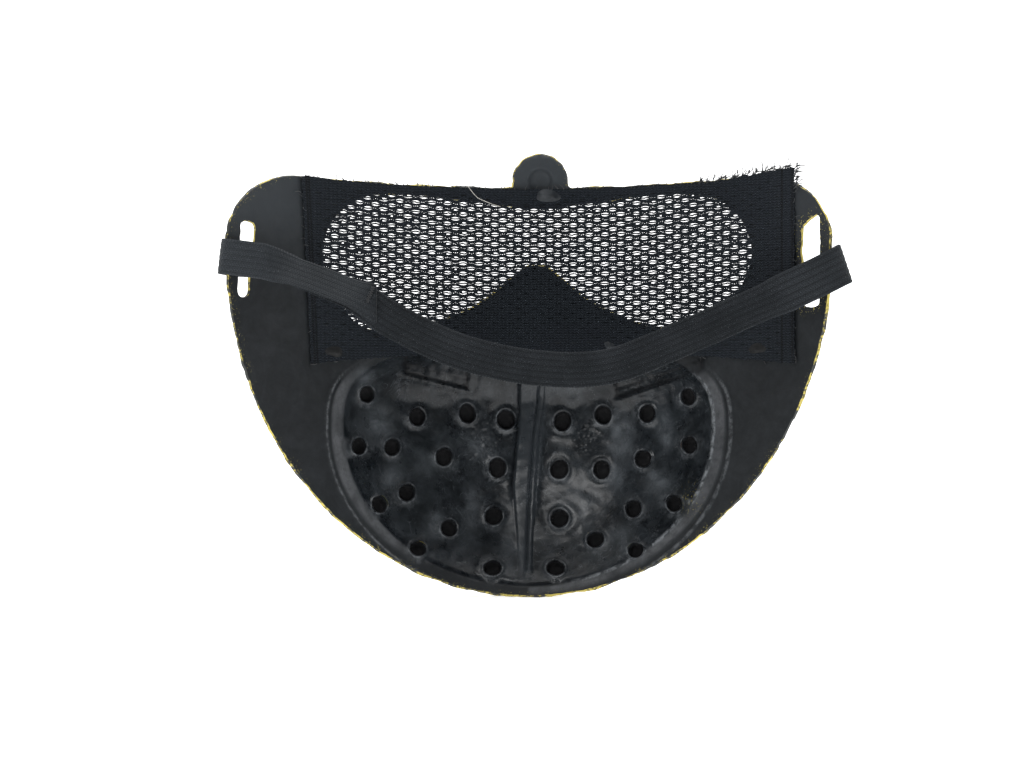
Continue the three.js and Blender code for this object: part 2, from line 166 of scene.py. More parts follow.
def bell(value, centre, width):
    return np.exp(-(((value - centre) / width) ** 2))


def waves(x, z, wavelength, seed, count=9):
    """Smooth noise of about that wavelength, from -1 to 1."""
    draw = np.random.default_rng(seed)
    total = np.zeros(np.broadcast(x, z).shape)
    for angle, scale, phase in zip(
        draw.uniform(0, math.pi, count), draw.uniform(0.7, 1.5, count), draw.uniform(0, 2 * math.pi, count)
    ):
        turn = 2 * math.pi / (wavelength * scale)
        total = total + np.sin((x * math.cos(angle) + z * math.sin(angle)) * turn + phase)
    return total / math.sqrt(count) / 1.4


def add_mesh(name, points, faces, materials, material_of=None, smooth_angle=40, attributes=None):
    mesh = bpy.data.meshes.new(name)
    mesh.from_pydata((np.asarray(points) * MM).tolist(), [], faces)
    mesh.validate()
    for material in materials:
        mesh.materials.append(material)
    if material_of is not None:
        mesh.polygons.foreach_set("material_index", np.asarray(material_of, dtype=np.int32))
    for key, values in (attributes or {}).items():
        values = np.asarray(values, dtype=np.float32)
        kind = "FLOAT_VECTOR" if values.ndim == 2 else "FLOAT"
        attribute = mesh.attributes.new(key, kind, "POINT")
        attribute.data.foreach_set("vector" if kind == "FLOAT_VECTOR" else "value", values.ravel())
    mesh.polygons.foreach_set("use_smooth", np.ones(len(mesh.polygons), dtype=bool))
    mesh.set_sharp_from_angle(angle=math.radians(smooth_angle))
    mesh.update()
    obj = bpy.data.objects.new(name, mesh)
    bpy.context.scene.collection.objects.link(obj)
    return obj


def spline(points, per_span):
    """A uniform Catmull-Rom curve through the points, open at its ends."""
    p = np.asarray(points, dtype=float)
    p = np.vstack([p[:1], p, p[-1:]])
    out = []
    for i in range(len(p) - 3):
        t = np.linspace(0, 1, per_span, endpoint=False)[:, None]
        a, b, c, d = p[i], p[i + 1], p[i + 2], p[i + 3]
        v0, v1 = (c - a) / 2, (d - b) / 2
        out.append((2 * b - 2 * c + v0 + v1) * t ** 3 + (-3 * b + 3 * c - 2 * v0 - v1) * t ** 2 + v0 * t + b)
    out.append(p[-1:])
    return np.vstack(out)


def resample(points, step):
    """Points at even spacing along a polyline."""
    p = np.asarray(points, dtype=float)
    lengths = np.concatenate([[0], np.cumsum(np.linalg.norm(np.diff(p, axis=0), axis=1))])
    count = max(2, int(round(lengths[-1] / step)) + 1)
    at = np.linspace(0, lengths[-1], count)
    return np.stack([np.interp(at, lengths, p[:, k]) for k in range(p.shape[1])], axis=1)


def closed(points, step):
    """Even points round a closed outline, without repeating its first."""
    p = np.asarray(points, dtype=float)
    return resample(np.vstack([p, p[:1]]), step)[:-1]


def inside(outline, x, z):
    """Which points lie inside a closed outline."""
    result = np.zeros(x.shape, dtype=bool)
    px, pz = outline[:, 0], outline[:, 1]
    qx, qz = np.roll(px, -1), np.roll(pz, -1)
    for ax, az, bx, bz in zip(px, pz, qx, qz):
        if az == bz:
            continue
        crosses = (az > z) != (bz > z)
        result ^= crosses & (x < (bx - ax) * (z - az) / (bz - az) + ax)
    return result


def distance_to(outline, x, z, loop=True):
    """Distance from each point to an outline."""
    best = np.full(x.shape, 1e9)
    last = len(outline) if loop else len(outline) - 1
    for i in range(last):
        a, b = outline[i], outline[(i + 1) % len(outline)]
        d = b - a
        t = np.clip(((x - a[0]) * d[0] + (z - a[1]) * d[1]) / max(d @ d, 1e-12), 0, 1)
        best = np.minimum(best, np.hypot(x - a[0] - t * d[0], z - a[1] - t * d[1]))
    return best


def triangulate(points, loops):
    """Triangles over the points that respect the closed loops, each a list of point numbers."""
    edges = [(loop[i], loop[(i + 1) % len(loop)]) for loop in loops for i in range(len(loop))]
    out = delaunay_2d_cdt([Vector(p) for p in points], edges, [], 0, 1e-5, True)
    verts = np.array([tuple(v) for v in out[0]])
    triangles = np.array(out[2])
    source = [group[0] if group else -1 for group in out[3]]
    return verts, triangles, np.array(source)


def boundary_edges(triangles):
    """Directed edges that only one triangle uses."""
    seen = {}
    for a, b, c in triangles:
        for e in ((a, b), (b, c), (c, a)):
            seen[e] = True
    return [e for e in seen if (e[1], e[0]) not in seen]


# ---------- the shell's surface ----------

def face_surface(x, z):
    side = SIDE_RADIUS - np.sqrt(np.maximum(SIDE_RADIUS ** 2 - x * x, 0))
    below = np.maximum(0, -SWEEP_START - z) / (CHIN_DROP - SWEEP_START)
    return side - SIDE_SWEEP - RIM_BEHIND + CHIN_SWEEP * below ** 2


def muzzle_reach(x, z):
    low = z < MUZZLE_CENTRE
    power = np.where(low, 2, 3)
    height = np.where(low, MUZZLE_DROP, MUZZLE_RISE)
    across = np.abs(x / MUZZLE_HALF) ** power
    along = np.abs((z - MUZZLE_CENTRE) / height) ** power
    return (across + along) ** (1 / power)


def plain_surface(x, z):
    """Depth of the shell's back, as the CAD has it."""
    reach = muzzle_reach(x, z)
    dome = (1 - np.minimum(1, reach / 0.97) ** 2) ** 0.75
    ledge = 0.4 * smooth(1.045, 0.99, reach) + 0.6 * smooth(0.99, 0.968, reach)
    bulge = MUZZLE_STEP * ledge + MUZZLE_DOME * dome
    nose_half = 11 + 0.45 * np.maximum(0, -z)
    nose = NOSE_DEPTH * smooth(4, -20, z) * np.exp(-((x / nose_half) ** 2))
    return face_surface(x, z) - bulge - nose * (1 - bulge / (MUZZLE_STEP + MUZZLE_DOME))


# Height and X along the raised ridge down the muzzle and along both edges of the strip that it runs in.
RIDGE_LINE = ((-40, -4.8), (-46, -4.2), (-65, -1.9), (-85, -0.7), (-100, 0.2), (-122, 1.0))
STRIP_LEFT = ((-40, 2.6), (-54, 2.9), (-65, 3.7), (-83, 5.4), (-98, 4.2), (-122, 2.6))
STRIP_RIGHT = ((-40, -8.2), (-54, -7.3), (-65, -5.8), (-83, -4.2), (-98, -2.2), (-122, -1.0))
POCKETS = ((22.5, 46, -46.5, -40.5), (-64, -33, -39.5, -50))   # low X, high X, floor height at each
STIPPLES = ((17.5, -66, 7, 9), (-22.5, -64, 5, 7))         # X, Z and half sizes of each rough patch
# Painted highlights in the muzzle: pale patches standing in for light reflected off the wavy sheet, also
# dented slightly. Shares as for the vents, half sizes and strength.
HIGHLIGHT_PATCHES = (
    (0.81, 0.0, 5.5, 6.5, 0.9), (0.73, 0.33, 3.6, 3.6, 1.0), (0.507, 0.61, 3.6, 4.2, 1.0),
    (0.56, 0.243, 4.5, 4, 0.5), (0.3, 0.52, 3.2, 7.5, 0.8), (0.26, 0.13, 5, 6, 0.5), (0.09, 0.79, 5, 7, 0.55),
    (-0.5, 0.087, 4.8, 9.5, 1.0), (-0.46, 0.31, 4.5, 5.5, 0.8), (-0.74, 0.03, 2.8, 9.5, 0.9),
    (-0.7, 0.35, 5, 4.6, 0.9), (-0.267, 0.5, 8, 12, 0.5), (-0.48, 0.7, 4.4, 5.2, 0.7),
    (-0.2, -0.24, 10, 3.5, 0.5), (0.88, -0.3, 3, 3.5, 0.6), (0.22, -0.22, 4, 4, 0.35),
)


def line_x(line, z):
    zs, xs = zip(*sorted(line))
    return np.interp(z, zs, xs)


def highlight_patches(x, z):
    """How strongly each point lies in a painted highlight patch, from 0 to 1."""
    out = np.zeros(x.shape)
    for u, v, half_x, half_z, strength in HIGHLIGHT_PATCHES:
        across = (x - u * MUZZLE_HALF) / half_x
        along = (z - MUZZLE_CENTRE + v * MUZZLE_DROP) / half_z
        out = np.maximum(out, strength * np.exp(-(across ** 2 + along ** 2) ** 1.3))
    return out


def relief(x, z):
    """Small moulded and accidental relief of the shell's back, towards the wearer."""
    reach = muzzle_reach(x, z)
    in_muzzle = smooth(0.97, 0.9, reach)
    below_mesh = smooth(-33, -38, z)
    out = 0.16 * waves(x, z, 34, 3)
    out = out + in_muzzle * (0.32 * waves(x, z, 15, 5) + 0.17 * waves(x, z, 7, 6) + 0.05 * waves(x, z, 4, 7))
    out = out - below_mesh * (0.45 * bell(reach, 1.052, 0.007) + 0.4 * bell(reach, 0.958, 0.008))
    out = out + below_mesh * 0.35 * bell(reach, 1.068, 0.008)
    strip = smooth(-0.6, 0.6, line_x(STRIP_LEFT, z) - x) * smooth(-0.6, 0.6, x - line_x(STRIP_RIGHT, z))
    out = out + below_mesh * in_muzzle * 0.6 * strip
    ridge = line_x(RIDGE_LINE, z)
    grooves = 0.75 * bell(x, ridge, 0.42) + 0.4 * bell(x, ridge - 2.3, 0.35)
    grooves = grooves + 0.7 * bell(x, line_x(STRIP_LEFT, z) + 0.6, 0.45) * smooth(-92, -84, z)
    out = out - below_mesh * in_muzzle * grooves
    for low, high, floor_low, floor_high in POCKETS:
        floor = floor_low + (floor_high - floor_low) * (x - low) / (high - low)
        ends = smooth(low - 0.7, low + 0.7, x) * smooth(high + 0.7, high - 0.7, x)
        out = out - 1.3 * ends * smooth(floor - 0.6, floor + 0.6, z) * smooth(-28, -31, z)
        shoulder = smooth(low - 2.5, low, x) * smooth(high + 2.5, high, x)
        out = out + 0.55 * shoulder * bell(z, floor - 1.4, 0.8)
        out = out - 0.8 * ends * smooth(floor + 2.4, floor + 3.4, z) * smooth(-28, -31, z)
    ribs = 0.9 * np.maximum(0, np.cos((x - 26) * 2 * math.pi / 4.4)) * bell(z, -38.8 - 0.12 * (36 - x), 1.5)
    out = out + ribs * smooth(25, 27, x) * smooth(43, 41, x)
    out = out + 0.7 * bell(x, 20.5 + (z + 47) * -0.25, 1.3) * smooth(-52, -46, z) * smooth(-30, -34, z)
    out = out - 0.45 * highlight_patches(x, z) * in_muzzle
    slot_crease = distance_to(np.array([[104, 17.5], [97.5, 19], [93, 24]]), x, z, False)
    out = out - 0.35 * np.exp(-((slot_crease / 0.8) ** 2))
    return out


def in_pockets(x, z):
    """The shadowed floors of the two long pockets under the strap, and the lines that run along them."""
    out = np.zeros(x.shape)
    for low, high, floor_low, floor_high in POCKETS:
        floor = floor_low + (floor_high - floor_low) * (x - low) / (high - low)
        ends = smooth(low - 0.7, low + 0.7, x) * smooth(high + 0.7, high - 0.7, x)
        lines = bell(z, floor + 0.4, 0.7) + 0.8 * bell(z, floor + 3.2, 0.6) + 0.6 * bell(z, floor + 5.6, 0.6)
        sides = (bell(x, low + 0.5, 0.8) + bell(x, high - 0.5, 0.8)) * smooth(floor, floor + 1, z)
        out = np.maximum(out, (ends * lines + sides * smooth(-30, -33, z)).clip(0, 1))
    return out


def vent_lips(x, z):
    """The raised lip round each vent and the shallow dimple round that."""
    out = np.zeros(x.shape)
    for i, (centre, _axis, e1, e2) in enumerate(vent_frames):
        wide, tall = np.linalg.norm(e1[[0, 2]]), np.linalg.norm(e2[[0, 2]])
        away = np.hypot((x - centre[0]) / wide, (z - centre[2]) / tall)
        out = out + (0.34 + 0.12 * math.sin(i * 2.4)) * bell(away, 3.7, 0.42) - 0.3 * bell(away, 5.3, 1.0)
    return out


def lip_highlight(x, z):
    """Painted highlight on the lip round each vent, mostly on its lower side."""
    out = np.zeros(x.shape)
    for i, (centre, _axis, e1, e2) in enumerate(vent_frames):
        wide, tall = np.linalg.norm(e1[[0, 2]]), np.linalg.norm(e2[[0, 2]])
        dx, dz = (x - centre[0]) / wide, (z - centre[2]) / tall
        away, angle = np.hypot(dx, dz), np.arctan2(dz, dx)
        paler_share = 0.45 + 0.4 * np.sin(angle + 2.6 + 0.4 * math.sin(i * 1.7)) + 0.25 * np.sin(3 * angle + i * 2.1)
        out = out + paler_share.clip(0.05, 1) * (bell(away, 3.55, 0.3) + 0.35 * bell(away, 4.4, 0.3))
    return out.clip(0, 1)


def tab_share(x, z):
    """How far each point belongs to the tab on the brow, from 0 to 1."""
    above_brow = smooth(BROW_RISE - BROW_DIP - 2.5, BROW_RISE + 0.5, z)
    return above_brow * smooth(TAB_RADIUS + 4, TAB_RADIUS, np.abs(x - TAB_X))


def shell_back(x, z):
    """Depth of the shell's back with its relief."""
    y = plain_surface(x, z) + relief(x, z)
    share = tab_share(x, z)
    y = y * (1 - share) + TAB_DEPTH * share
    away = np.hypot(x - TAB_X, z - TAB_Z)
    dish = DISH_DEPTH * smooth(DISH_RADIUS + 0.3, DISH_RADIUS - 0.9, away)
    y = y - dish + 0.35 * bell(away, DISH_RADIUS + 0.9, 0.6)
    return y - 0.5 * smooth(TAB_RADIUS - 1.6, TAB_RADIUS - 0.2, away) * smooth(BROW_RISE, BROW_RISE + 2, z)


def normals_of(surface, x, z, h=0.4):
    sx = (surface(x + h, z) - surface(x - h, z)) / (2 * h)
    sz = (surface(x, z + h) - surface(x, z - h)) / (2 * h)
    n = np.stack([-sx, np.ones_like(sx), -sz], axis=1)
    return n / np.linalg.norm(n, axis=1, keepdims=True)


def make_vent_frames():
    """Centre, axis and two half-axes of each vent's mouth."""
    out = []
    for u, v in VENTS:
        x, z = u * MUZZLE_HALF, MUZZLE_CENTRE - v * MUZZLE_DROP
        at = np.array([x]), np.array([z])
        axis = np.array([0, 1, 0]) * (1 - VENT_LEAN) + normals_of(plain_surface, *at)[0] * VENT_LEAN
        axis /= np.linalg.norm(axis)
        e1 = np.cross(axis, [0, 0, 1])
        e1 /= np.linalg.norm(e1)
        wide = 1.07 - 0.15 * abs(u)
        tall = 1.24 - 0.3 * abs(u) - 0.6 * max(0, v - 0.45)
        centre = np.array([x, float(plain_surface(*at)[0]), z])
        out.append((centre, axis, e1 * wide, np.cross(axis, e1) * tall))
    return out


vent_frames = make_vent_frames()

# ---------- outlines ----------

def arc(cx, cz, rx, rz, start, end, count=40):
    a = np.radians(np.linspace(start, end, count))
    return np.stack([cx + rx * np.cos(a), cz + rz * np.sin(a)], axis=1)


def rim_outline():
    """The shell's outline, with the tab on its brow edge."""
    corner_x, corner_z = HALF_WIDTH - CORNER_RADIUS, BROW_RISE - CORNER_RADIUS
    t = np.linspace(0, 1, 80)[1:-1, None]
    a = np.array([corner_x, BROW_RISE])
    b = np.array([0, BROW_RISE - 2 * BROW_DIP])
    c = np.array([-corner_x, BROW_RISE])
    brow = a * (1 - t) ** 2 + 2 * b * t * (1 - t) + c * t ** 2
    left = brow[brow[:, 0] > TAB_X + TAB_RADIUS + 1.2]
    right = brow[brow[:, 0] < TAB_X - TAB_RADIUS - 1.2]
    tab = np.vstack([
        [[TAB_X + TAB_RADIUS + 0.3, BROW_RISE - BROW_DIP + 0.4]],
        arc(TAB_X, TAB_Z, TAB_RADIUS, TAB_RADIUS, -4, 184, 40),
        [[TAB_X - TAB_RADIUS - 0.3, BROW_RISE - BROW_DIP + 0.4]],
    ])
    return np.vstack([
        arc(0, 0, HALF_WIDTH, CHIN_DROP, 180, 360, 120),
        arc(corner_x, corner_z, CORNER_RADIUS, CORNER_RADIUS, 0, 90, 24),
        left, tab, right,
        arc(-corner_x, corner_z, CORNER_RADIUS, CORNER_RADIUS, 90, 180, 24),
    ])


def window_outline():
    """The eye window: one eye's half, its mirror image, and the notch for the nose between them."""
    top, bottom = WINDOW_TOP, WINDOW_TOP - WINDOW_HEIGHT
    middle, end = (top + bottom) / 2, WINDOW_HALF
    half = np.array([
        [NOTCH_HALF, bottom + NOTCH_RISE],
        [EYE_X * 0.45, bottom + NOTCH_RISE * 0.38],
        [EYE_X * 0.8, bottom + NOTCH_RISE * 0.065],
        [EYE_X, bottom],
        [end * 0.82, bottom + WINDOW_HEIGHT * 0.08],
        [end * 0.95, middle - WINDOW_HEIGHT * 0.2],
        [end, middle + WINDOW_HEIGHT * 0.06],
        [end * 0.95, middle + WINDOW_HEIGHT * 0.3],
        [end * 0.82, top - WINDOW_HEIGHT * 0.03],
        [EYE_X, top],
        [EYE_X * 0.55, top - WINDOW_DIP * 0.4],
    ])
    other = half[::-1] * [-1, 1]
    half[3:6, 1] -= (0.8, 3.6, 2.0)            # the left eye is cut lower at its outer end
    points = spline(np.vstack([half, [[0, top - WINDOW_DIP]], other]), 8)
    return points + [WINDOW_X, 0]


def slot_outline(side, low, high, r=2.2):
    """A hand-trimmed slot: the left one narrows downwards, and the right one's top is cut on a slant."""
    outline = np.vstack([
        arc(SLOT_OUTER - r, low + r, r, r, -90, 0, 5), arc(SLOT_OUTER - r, high - r, r, r, 0, 90, 5),
        arc(SLOT_INNER + r, high - r, r, r, 90, 180, 5), arc(SLOT_INNER + r, low + r, r, r, 180, 270, 5),
    ])
    outline = closed(outline, 0.9)
    x, z = outline[:, 0], outline[:, 1]
    inner = smooth(SLOT_OUTER, SLOT_INNER, x)
    if side > 0:
        x = x + inner * (0.5 + 1.6 * smooth(3, -6, z)) - (1 - inner) * (0.7 * smooth(-4, 4, z))
    else:
        z = z - inner * 4.0 * smooth(high - 6, high, z)
    return np.stack([x, z], axis=1) * [side, 1]


def ragged(outline, size, seed):
    """The outline as a knife cut it: slightly uneven."""
    draw = np.random.default_rng(seed)
    rough = draw.normal(0, size, outline.shape)
    return outline + (rough + np.roll(rough, 1, axis=0)) / 2


# ---------- node helpers ----------

class Nodes:
    """One material's shader nodes, built by short calls that return output sockets."""

    def __init__(self, name):
        self.material = bpy.data.materials.new(name)
        self.material.use_nodes = True
        self.tree = self.material.node_tree
        self.shader = self.tree.nodes["Principled BSDF"]
        self.coordinates = self.add("ShaderNodeTexCoord").outputs["Object"]

    def add(self, kind, **values):
        node = self.tree.nodes.new(kind)
        for key, value in values.items():
            setattr(node, key, value)
        return node

    def link(self, source, target):
        self.tree.links.new(source, target)

    def feed(self, socket, value):
        """Links an output to the socket, or sets the socket to a colour or a number."""
        if isinstance(value, tuple):
            socket.default_value = (*value, 1)
        elif isinstance(value, (int, float)):
            socket.default_value = value
        elif value is not None:
            self.link(value, socket)

    def attribute(self, name, output="Fac"):
        return self.add("ShaderNodeAttribute", attribute_name=name).outputs[output]

    def noise(self, scale, detail=3.0, rough=0.5, stretch=None, distortion=0.0):
        node = self.add("ShaderNodeTexNoise")
        node.inputs["Scale"].default_value = scale
        node.inputs["Detail"].default_value = detail
        node.inputs["Roughness"].default_value = rough
        node.inputs["Distortion"].default_value = distortion
        source = self.coordinates
        if stretch:
            mapping = self.add("ShaderNodeMapping")
            mapping.inputs["Scale"].default_value = stretch
            self.link(source, mapping.inputs["Vector"])
            source = mapping.outputs["Vector"]
        self.link(source, node.inputs["Vector"])
        return node.outputs["Fac"]

    def bands(self, source, stops):
        """Bands of flat colour, each from its place up to the next."""
        node = self.add("ShaderNodeValToRGB")
        node.color_ramp.interpolation = "CONSTANT"
        elements = node.color_ramp.elements
        while len(elements) < len(stops):
            elements.new(0.5)
        for element, (place, colour) in zip(elements, stops):
            element.position = place
            element.color = (*colour, 1)
        self.link(source, node.inputs["Fac"])
        return node.outputs["Color"]

    def range(self, source, a, b, c, d):
        """Maps the range from a to b onto the range from c to d, and stays within it."""
        node = self.add("ShaderNodeMapRange")
        for i, value in enumerate((a, b, c, d), start=1):
            node.inputs[i].default_value = value
        self.link(source, node.inputs[0])
        return node.outputs[0]

    def math(self, operation, a, b=None):
        node = self.add("ShaderNodeMath", operation=operation)
        self.feed(node.inputs[0], a)
        self.feed(node.inputs[1], b)
        return node.outputs[0]

    def times(self, a, b):
        return self.math("MULTIPLY", a, b)

    def plus(self, a, b):
        return self.math("ADD", a, b)

    def mix(self, factor, a, b):
        node = self.add("ShaderNodeMix", data_type="RGBA")
        for number, value in ((0, factor), (6, a), (7, b)):
            self.feed(node.inputs[number], value)
        return node.outputs[2]

    def bump(self, source, strength, distance, below=None):
        node = self.add("ShaderNodeBump")
        node.inputs["Strength"].default_value = strength
        node.inputs["Distance"].default_value = distance
        self.link(source, node.inputs["Height"])
        if below is not None:
            self.link(below, node.inputs["Normal"])
        return node.outputs["Normal"]

    def finish(self, colour, roughness, normal=None, **constants):
        for name, value in (("Base Color", colour), ("Roughness", roughness), ("Normal", normal)):
            self.feed(self.shader.inputs[name], value)
        for name, value in constants.items():
            socket_name = name.replace("_", " ").title().replace("Ior", "IOR")
            self.shader.inputs[socket_name].default_value = value
        return self.material


# ---------- materials ----------

def shell_inner_material():
    n = Nodes("shell_inner")
    fine = n.noise(260, 3)
    muzzle = n.attribute("muzzle")
    haze = n.range(n.noise(48, 7, 0.68, distortion=1.2), 0.44, 0.62, 0, 1)
    mottle = n.range(n.noise(190, 6, 0.72, distortion=0.9), 0.42, 0.6, 0, 1)
    haze = n.plus(n.times(haze, 0.6), n.times(mottle, 0.4))
    haze = n.times(haze, n.range(muzzle, 0, 1, 0.3, 1))
    colour = n.mix(haze, (0.0036, 0.0052, 0.0068), (0.026, 0.0305, 0.035))
    # painted light on the upper cheeks, where light falls from above; the tab and the muzzle's middle strip
    # are also made lighter
    colour = n.mix(n.attribute("tone"), colour, (0.026, 0.031, 0.036))
    # painted highlight: pale patches where the wavy muzzle reflects the lights, broken up by noise
    highlight_breakup = n.range(n.noise(120, 6, 0.7, distortion=0.9), 0.36, 0.62, 0.3, 1)
    colour = n.mix(n.times(n.attribute("painted_highlight"), highlight_breakup), colour, (0.11, 0.122, 0.134))
    swirl = n.math("ABSOLUTE", n.math("SUBTRACT", n.noise(95, 3, 0.62, distortion=1.6), 0.5))
    scratch = n.range(swirl, 0.002, 0.011, 0.5, 0)
    scratch = n.times(scratch, n.range(n.noise(60, 2), 0.46, 0.6, 0.1, 1))
    colour = n.mix(n.times(scratch, muzzle), colour, (0.1, 0.11, 0.12))
    # painted highlight on the muzzle's step walls, broken into streaks
    streaks = n.range(n.noise(330, 4, 0.7), 0.35, 0.6, 0.55, 1)
    colour = n.mix(n.times(n.attribute("band"), streaks), colour, (0.078, 0.082, 0.088))
    bright = n.range(n.noise(420, 3, 0.7), 0.42, 0.62, 0.15, 0.9)
    colour = n.mix(n.times(n.attribute("gleam"), bright), colour, (0.32, 0.34, 0.36))
    # painted highlight on the vents' lips
    painted_lip_highlight = n.times(n.attribute("painted_lip_highlight"), n.range(n.noise(520, 4, 0.7), 0.38, 0.6, 0.1, 1))
    colour = n.mix(painted_lip_highlight, colour, (0.2, 0.215, 0.23))
    # painted shade inside the vents and on the pocket floors, mottled by noise
    pit_shade_mottle = n.range(n.noise(640, 4, 0.7), 0.4, 0.62, 0, 1)
    floor = n.mix(pit_shade_mottle, (0.0018, 0.0022, 0.003), (0.0075, 0.0075, 0.0085))
    colour = n.mix(n.attribute("pit_shade"), colour, floor)
    flecks = n.math("GREATER_THAN", n.noise(1400, 2, 0.6), 0.64)
    edge = n.times(flecks, n.attribute("edge"))
    colour = n.mix(edge, colour, (0.42, 0.36, 0.1))
    smear = n.range(n.noise(34, 6, 0.68, stretch=(1, 1, 0.45)), 0.35, 0.7, 0.2, 0.42)
    smear = n.math("MAXIMUM", smear, n.range(muzzle, 0, 1, 0.6, 0))
    rough = n.plus(smear, n.range(fine, 0.3, 0.7, -0.04, 0.06))
    rough = n.math("MAXIMUM", rough, n.range(n.attribute("pit_shade"), 0, 1, 0, 0.85))
    surface = n.plus(fine, n.times(swirl, 1.5))
    grain = n.bump(surface, 0.3, 0.0003)
    cells = n.add("ShaderNodeTexVoronoi", feature="SMOOTH_F1")
    cells.inputs["Scale"].default_value = 620
    n.link(n.coordinates, cells.inputs["Vector"])
    stipple = n.times(cells.outputs["Distance"], n.attribute("stipple"))
    normal = n.bump(stipple, 0.6, 0.001, grain)
    return n.finish(colour, rough, normal, specular_ior_level=0.3)


# Where each colour of the camouflage starts in the noise that spreads it: black, olive, tan and yellow.
CAMOUFLAGE = (
    (0.0, (0.012, 0.014, 0.012)),
    (0.44, (0.06, 0.065, 0.03)),
    (0.5, (0.2, 0.17, 0.05)),
    (0.6, (0.42, 0.35, 0.09)),
)


def shell_outer_material():
    n = Nodes("shell_outer")
    colour = n.bands(n.noise(24, 2.5, 0.5, distortion=0.8), CAMOUFLAGE)
    patch = n.math("GREATER_THAN", n.noise(33, 2, 0.5, stretch=(1, 1, 1.4), distortion=1.2), 0.57)
    colour = n.mix(patch, colour, (0.07, 0.042, 0.022))
    wear = n.range(n.noise(300, 4, 0.7), 0.6, 0.72, 0, 0.5)
    colour = n.mix(wear, colour, (0.03, 0.03, 0.028))
    grain = n.noise(700, 2)
    return n.finish(colour, n.range(grain, 0.3, 0.7, 0.42, 0.6), n.bump(grain, 0.15, 0.0002), ior=1.45)


def rim_material():
    n = Nodes("shell_cut_edge")
    patchy = n.noise(70, 4, 0.7)
    fine = n.noise(900, 2, 0.6)
    share = n.plus(n.times(patchy, 1.2), n.times(fine, 0.6))
    yellow = n.range(share, 0.86, 0.98, 0, 1)
    colour = n.mix(yellow, (0.02, 0.022, 0.02), (0.55, 0.45, 0.09))
    return n.finish(colour, 0.6, n.bump(fine, 0.3, 0.0003))


def mesh_material():
    n = Nodes("eye_mesh_knit")
    axes = n.add("ShaderNodeSeparateXYZ")
    n.link(n.coordinates, axes.inputs[0])
    across, up = n.math("DIVIDE", axes.outputs[0], MM), n.math("DIVIDE", axes.outputs[2], MM)
    drift = n.range(n.noise(45, 2), 0.3, 0.7, -1.4, 1.4)
    loops = n.math("SINE", n.times(across, 2 * math.pi / (HOLE_PITCH / 4)))
    zigzag = n.plus(n.times(loops, 1.1), drift)
    rows = n.math("SINE", n.plus(n.times(up, 2 * math.pi / (HOLE_ROW / 2)), zigzag))
    knit = n.plus(n.times(rows, 0.7), n.times(loops, 0.3))
    tone = n.noise(30, 4)                              # the cloth is greyer in some places than others
    dark = n.mix(n.range(tone, 0.35, 0.65, 0, 1), (0.0028, 0.0045, 0.007), (0.006, 0.0085, 0.012))
    colour = n.mix(n.range(knit, -0.6, 0.9, 0, 1), dark, (0.0135, 0.0175, 0.0225))
    lean = PANEL_SLANT / PANEL_HEIGHT
    # painted shade: dark lines along the doubled hems at both sides of the panel
    hem_shade_lines = [(PANEL_LEFT - 1.9, lean), (PANEL_LEFT - 2.9, lean)]
    hem_shade_lines += [(PANEL_RIGHT + 4.6, 0), (PANEL_RIGHT + 1.2, 0)]
    for edge_x, slope in hem_shade_lines:
        place = n.plus(n.times(up, slope), edge_x - slope * PANEL_TOP)
        from_hem_line = n.math("SUBTRACT", across, place)
        line = n.range(n.math("ABSOLUTE", from_hem_line), 0.15, 0.55, 0.7, 0)
        colour = n.mix(line, colour, (0.001, 0.0015, 0.002))
    normal = n.bump(knit, 0.6, 0.0003)
    return n.finish(colour, 0.85, normal, specular_ior_level=0.15, sheen_weight=0.05, sheen_roughness=0.5)


STITCH_PITCH = 0.95            # between the elastic's stitches, along it
STITCH_WAVE = 2.1              # across it, over which a row of stitches sways
CORD_PITCH = 0.7               # between the rubber cords


def elastic_material(name, light):
    """Knitted elastic. The mesh's place attribute gives millimetres along and across it."""
    n = Nodes(name)
    place = n.attribute("place", "Vector")
    axes = n.add("ShaderNodeSeparateXYZ")
    n.link(place, axes.inputs[0])
    along, across = axes.outputs[0], axes.outputs[1]
    sway = n.times(n.math("SINE", n.times(across, 2 * math.pi / STITCH_WAVE)), 2.2)
    stitch = n.math("SINE", n.plus(n.times(along, 2 * math.pi / STITCH_PITCH), sway))
    cord = n.math("SINE", n.times(across, 2 * math.pi / CORD_PITCH))
    knit = n.times(n.plus(stitch, n.times(cord, 0.5)), 0.5)
    fuzz = n.noise(900, 3, 0.7)
    patch = n.noise(60, 3, 0.6)
    paler_share = n.attribute("paler_share")
    base = n.mix(n.range(patch, 0.3, 0.7, 0, 1), (0.0075, 0.0098, 0.012), (0.0165, 0.0195, 0.023))
    # paler towards the strap's loops
    base = n.mix(paler_share, base, light)
    # painted shade in the grooves between the rubber cords
    groove_shade = n.attribute("groove_shade")
    base = n.mix(n.times(groove_shade, 0.6), base, (0.005, 0.006, 0.0075))
    base = n.mix(n.range(stitch, -1, 1, 0.28, 0), base, (0.004, 0.005, 0.006))
    lint = n.math("GREATER_THAN", n.noise(1900, 1), 0.73)
    base = n.mix(n.times(lint, 0.35), base, (0.12, 0.125, 0.13))
    height = n.plus(knit, n.times(fuzz, 0.8))
    normal = n.bump(height, 0.6, 0.0002)
    return n.finish(base, 0.88, normal, specular_ior_level=0.2, sheen_weight=0.1, sheen_roughness=0.45)


def thread_material(name, colour):
    n = Nodes(name)
    twist = n.noise(1500, 2, 0.6)
    base = n.mix(n.range(twist, 0.35, 0.65, 0, 1), tuple(c * 0.6 for c in colour), colour)
    return n.finish(base, 0.75, n.bump(twist, 0.5, 0.0002), sheen_weight=0.3)


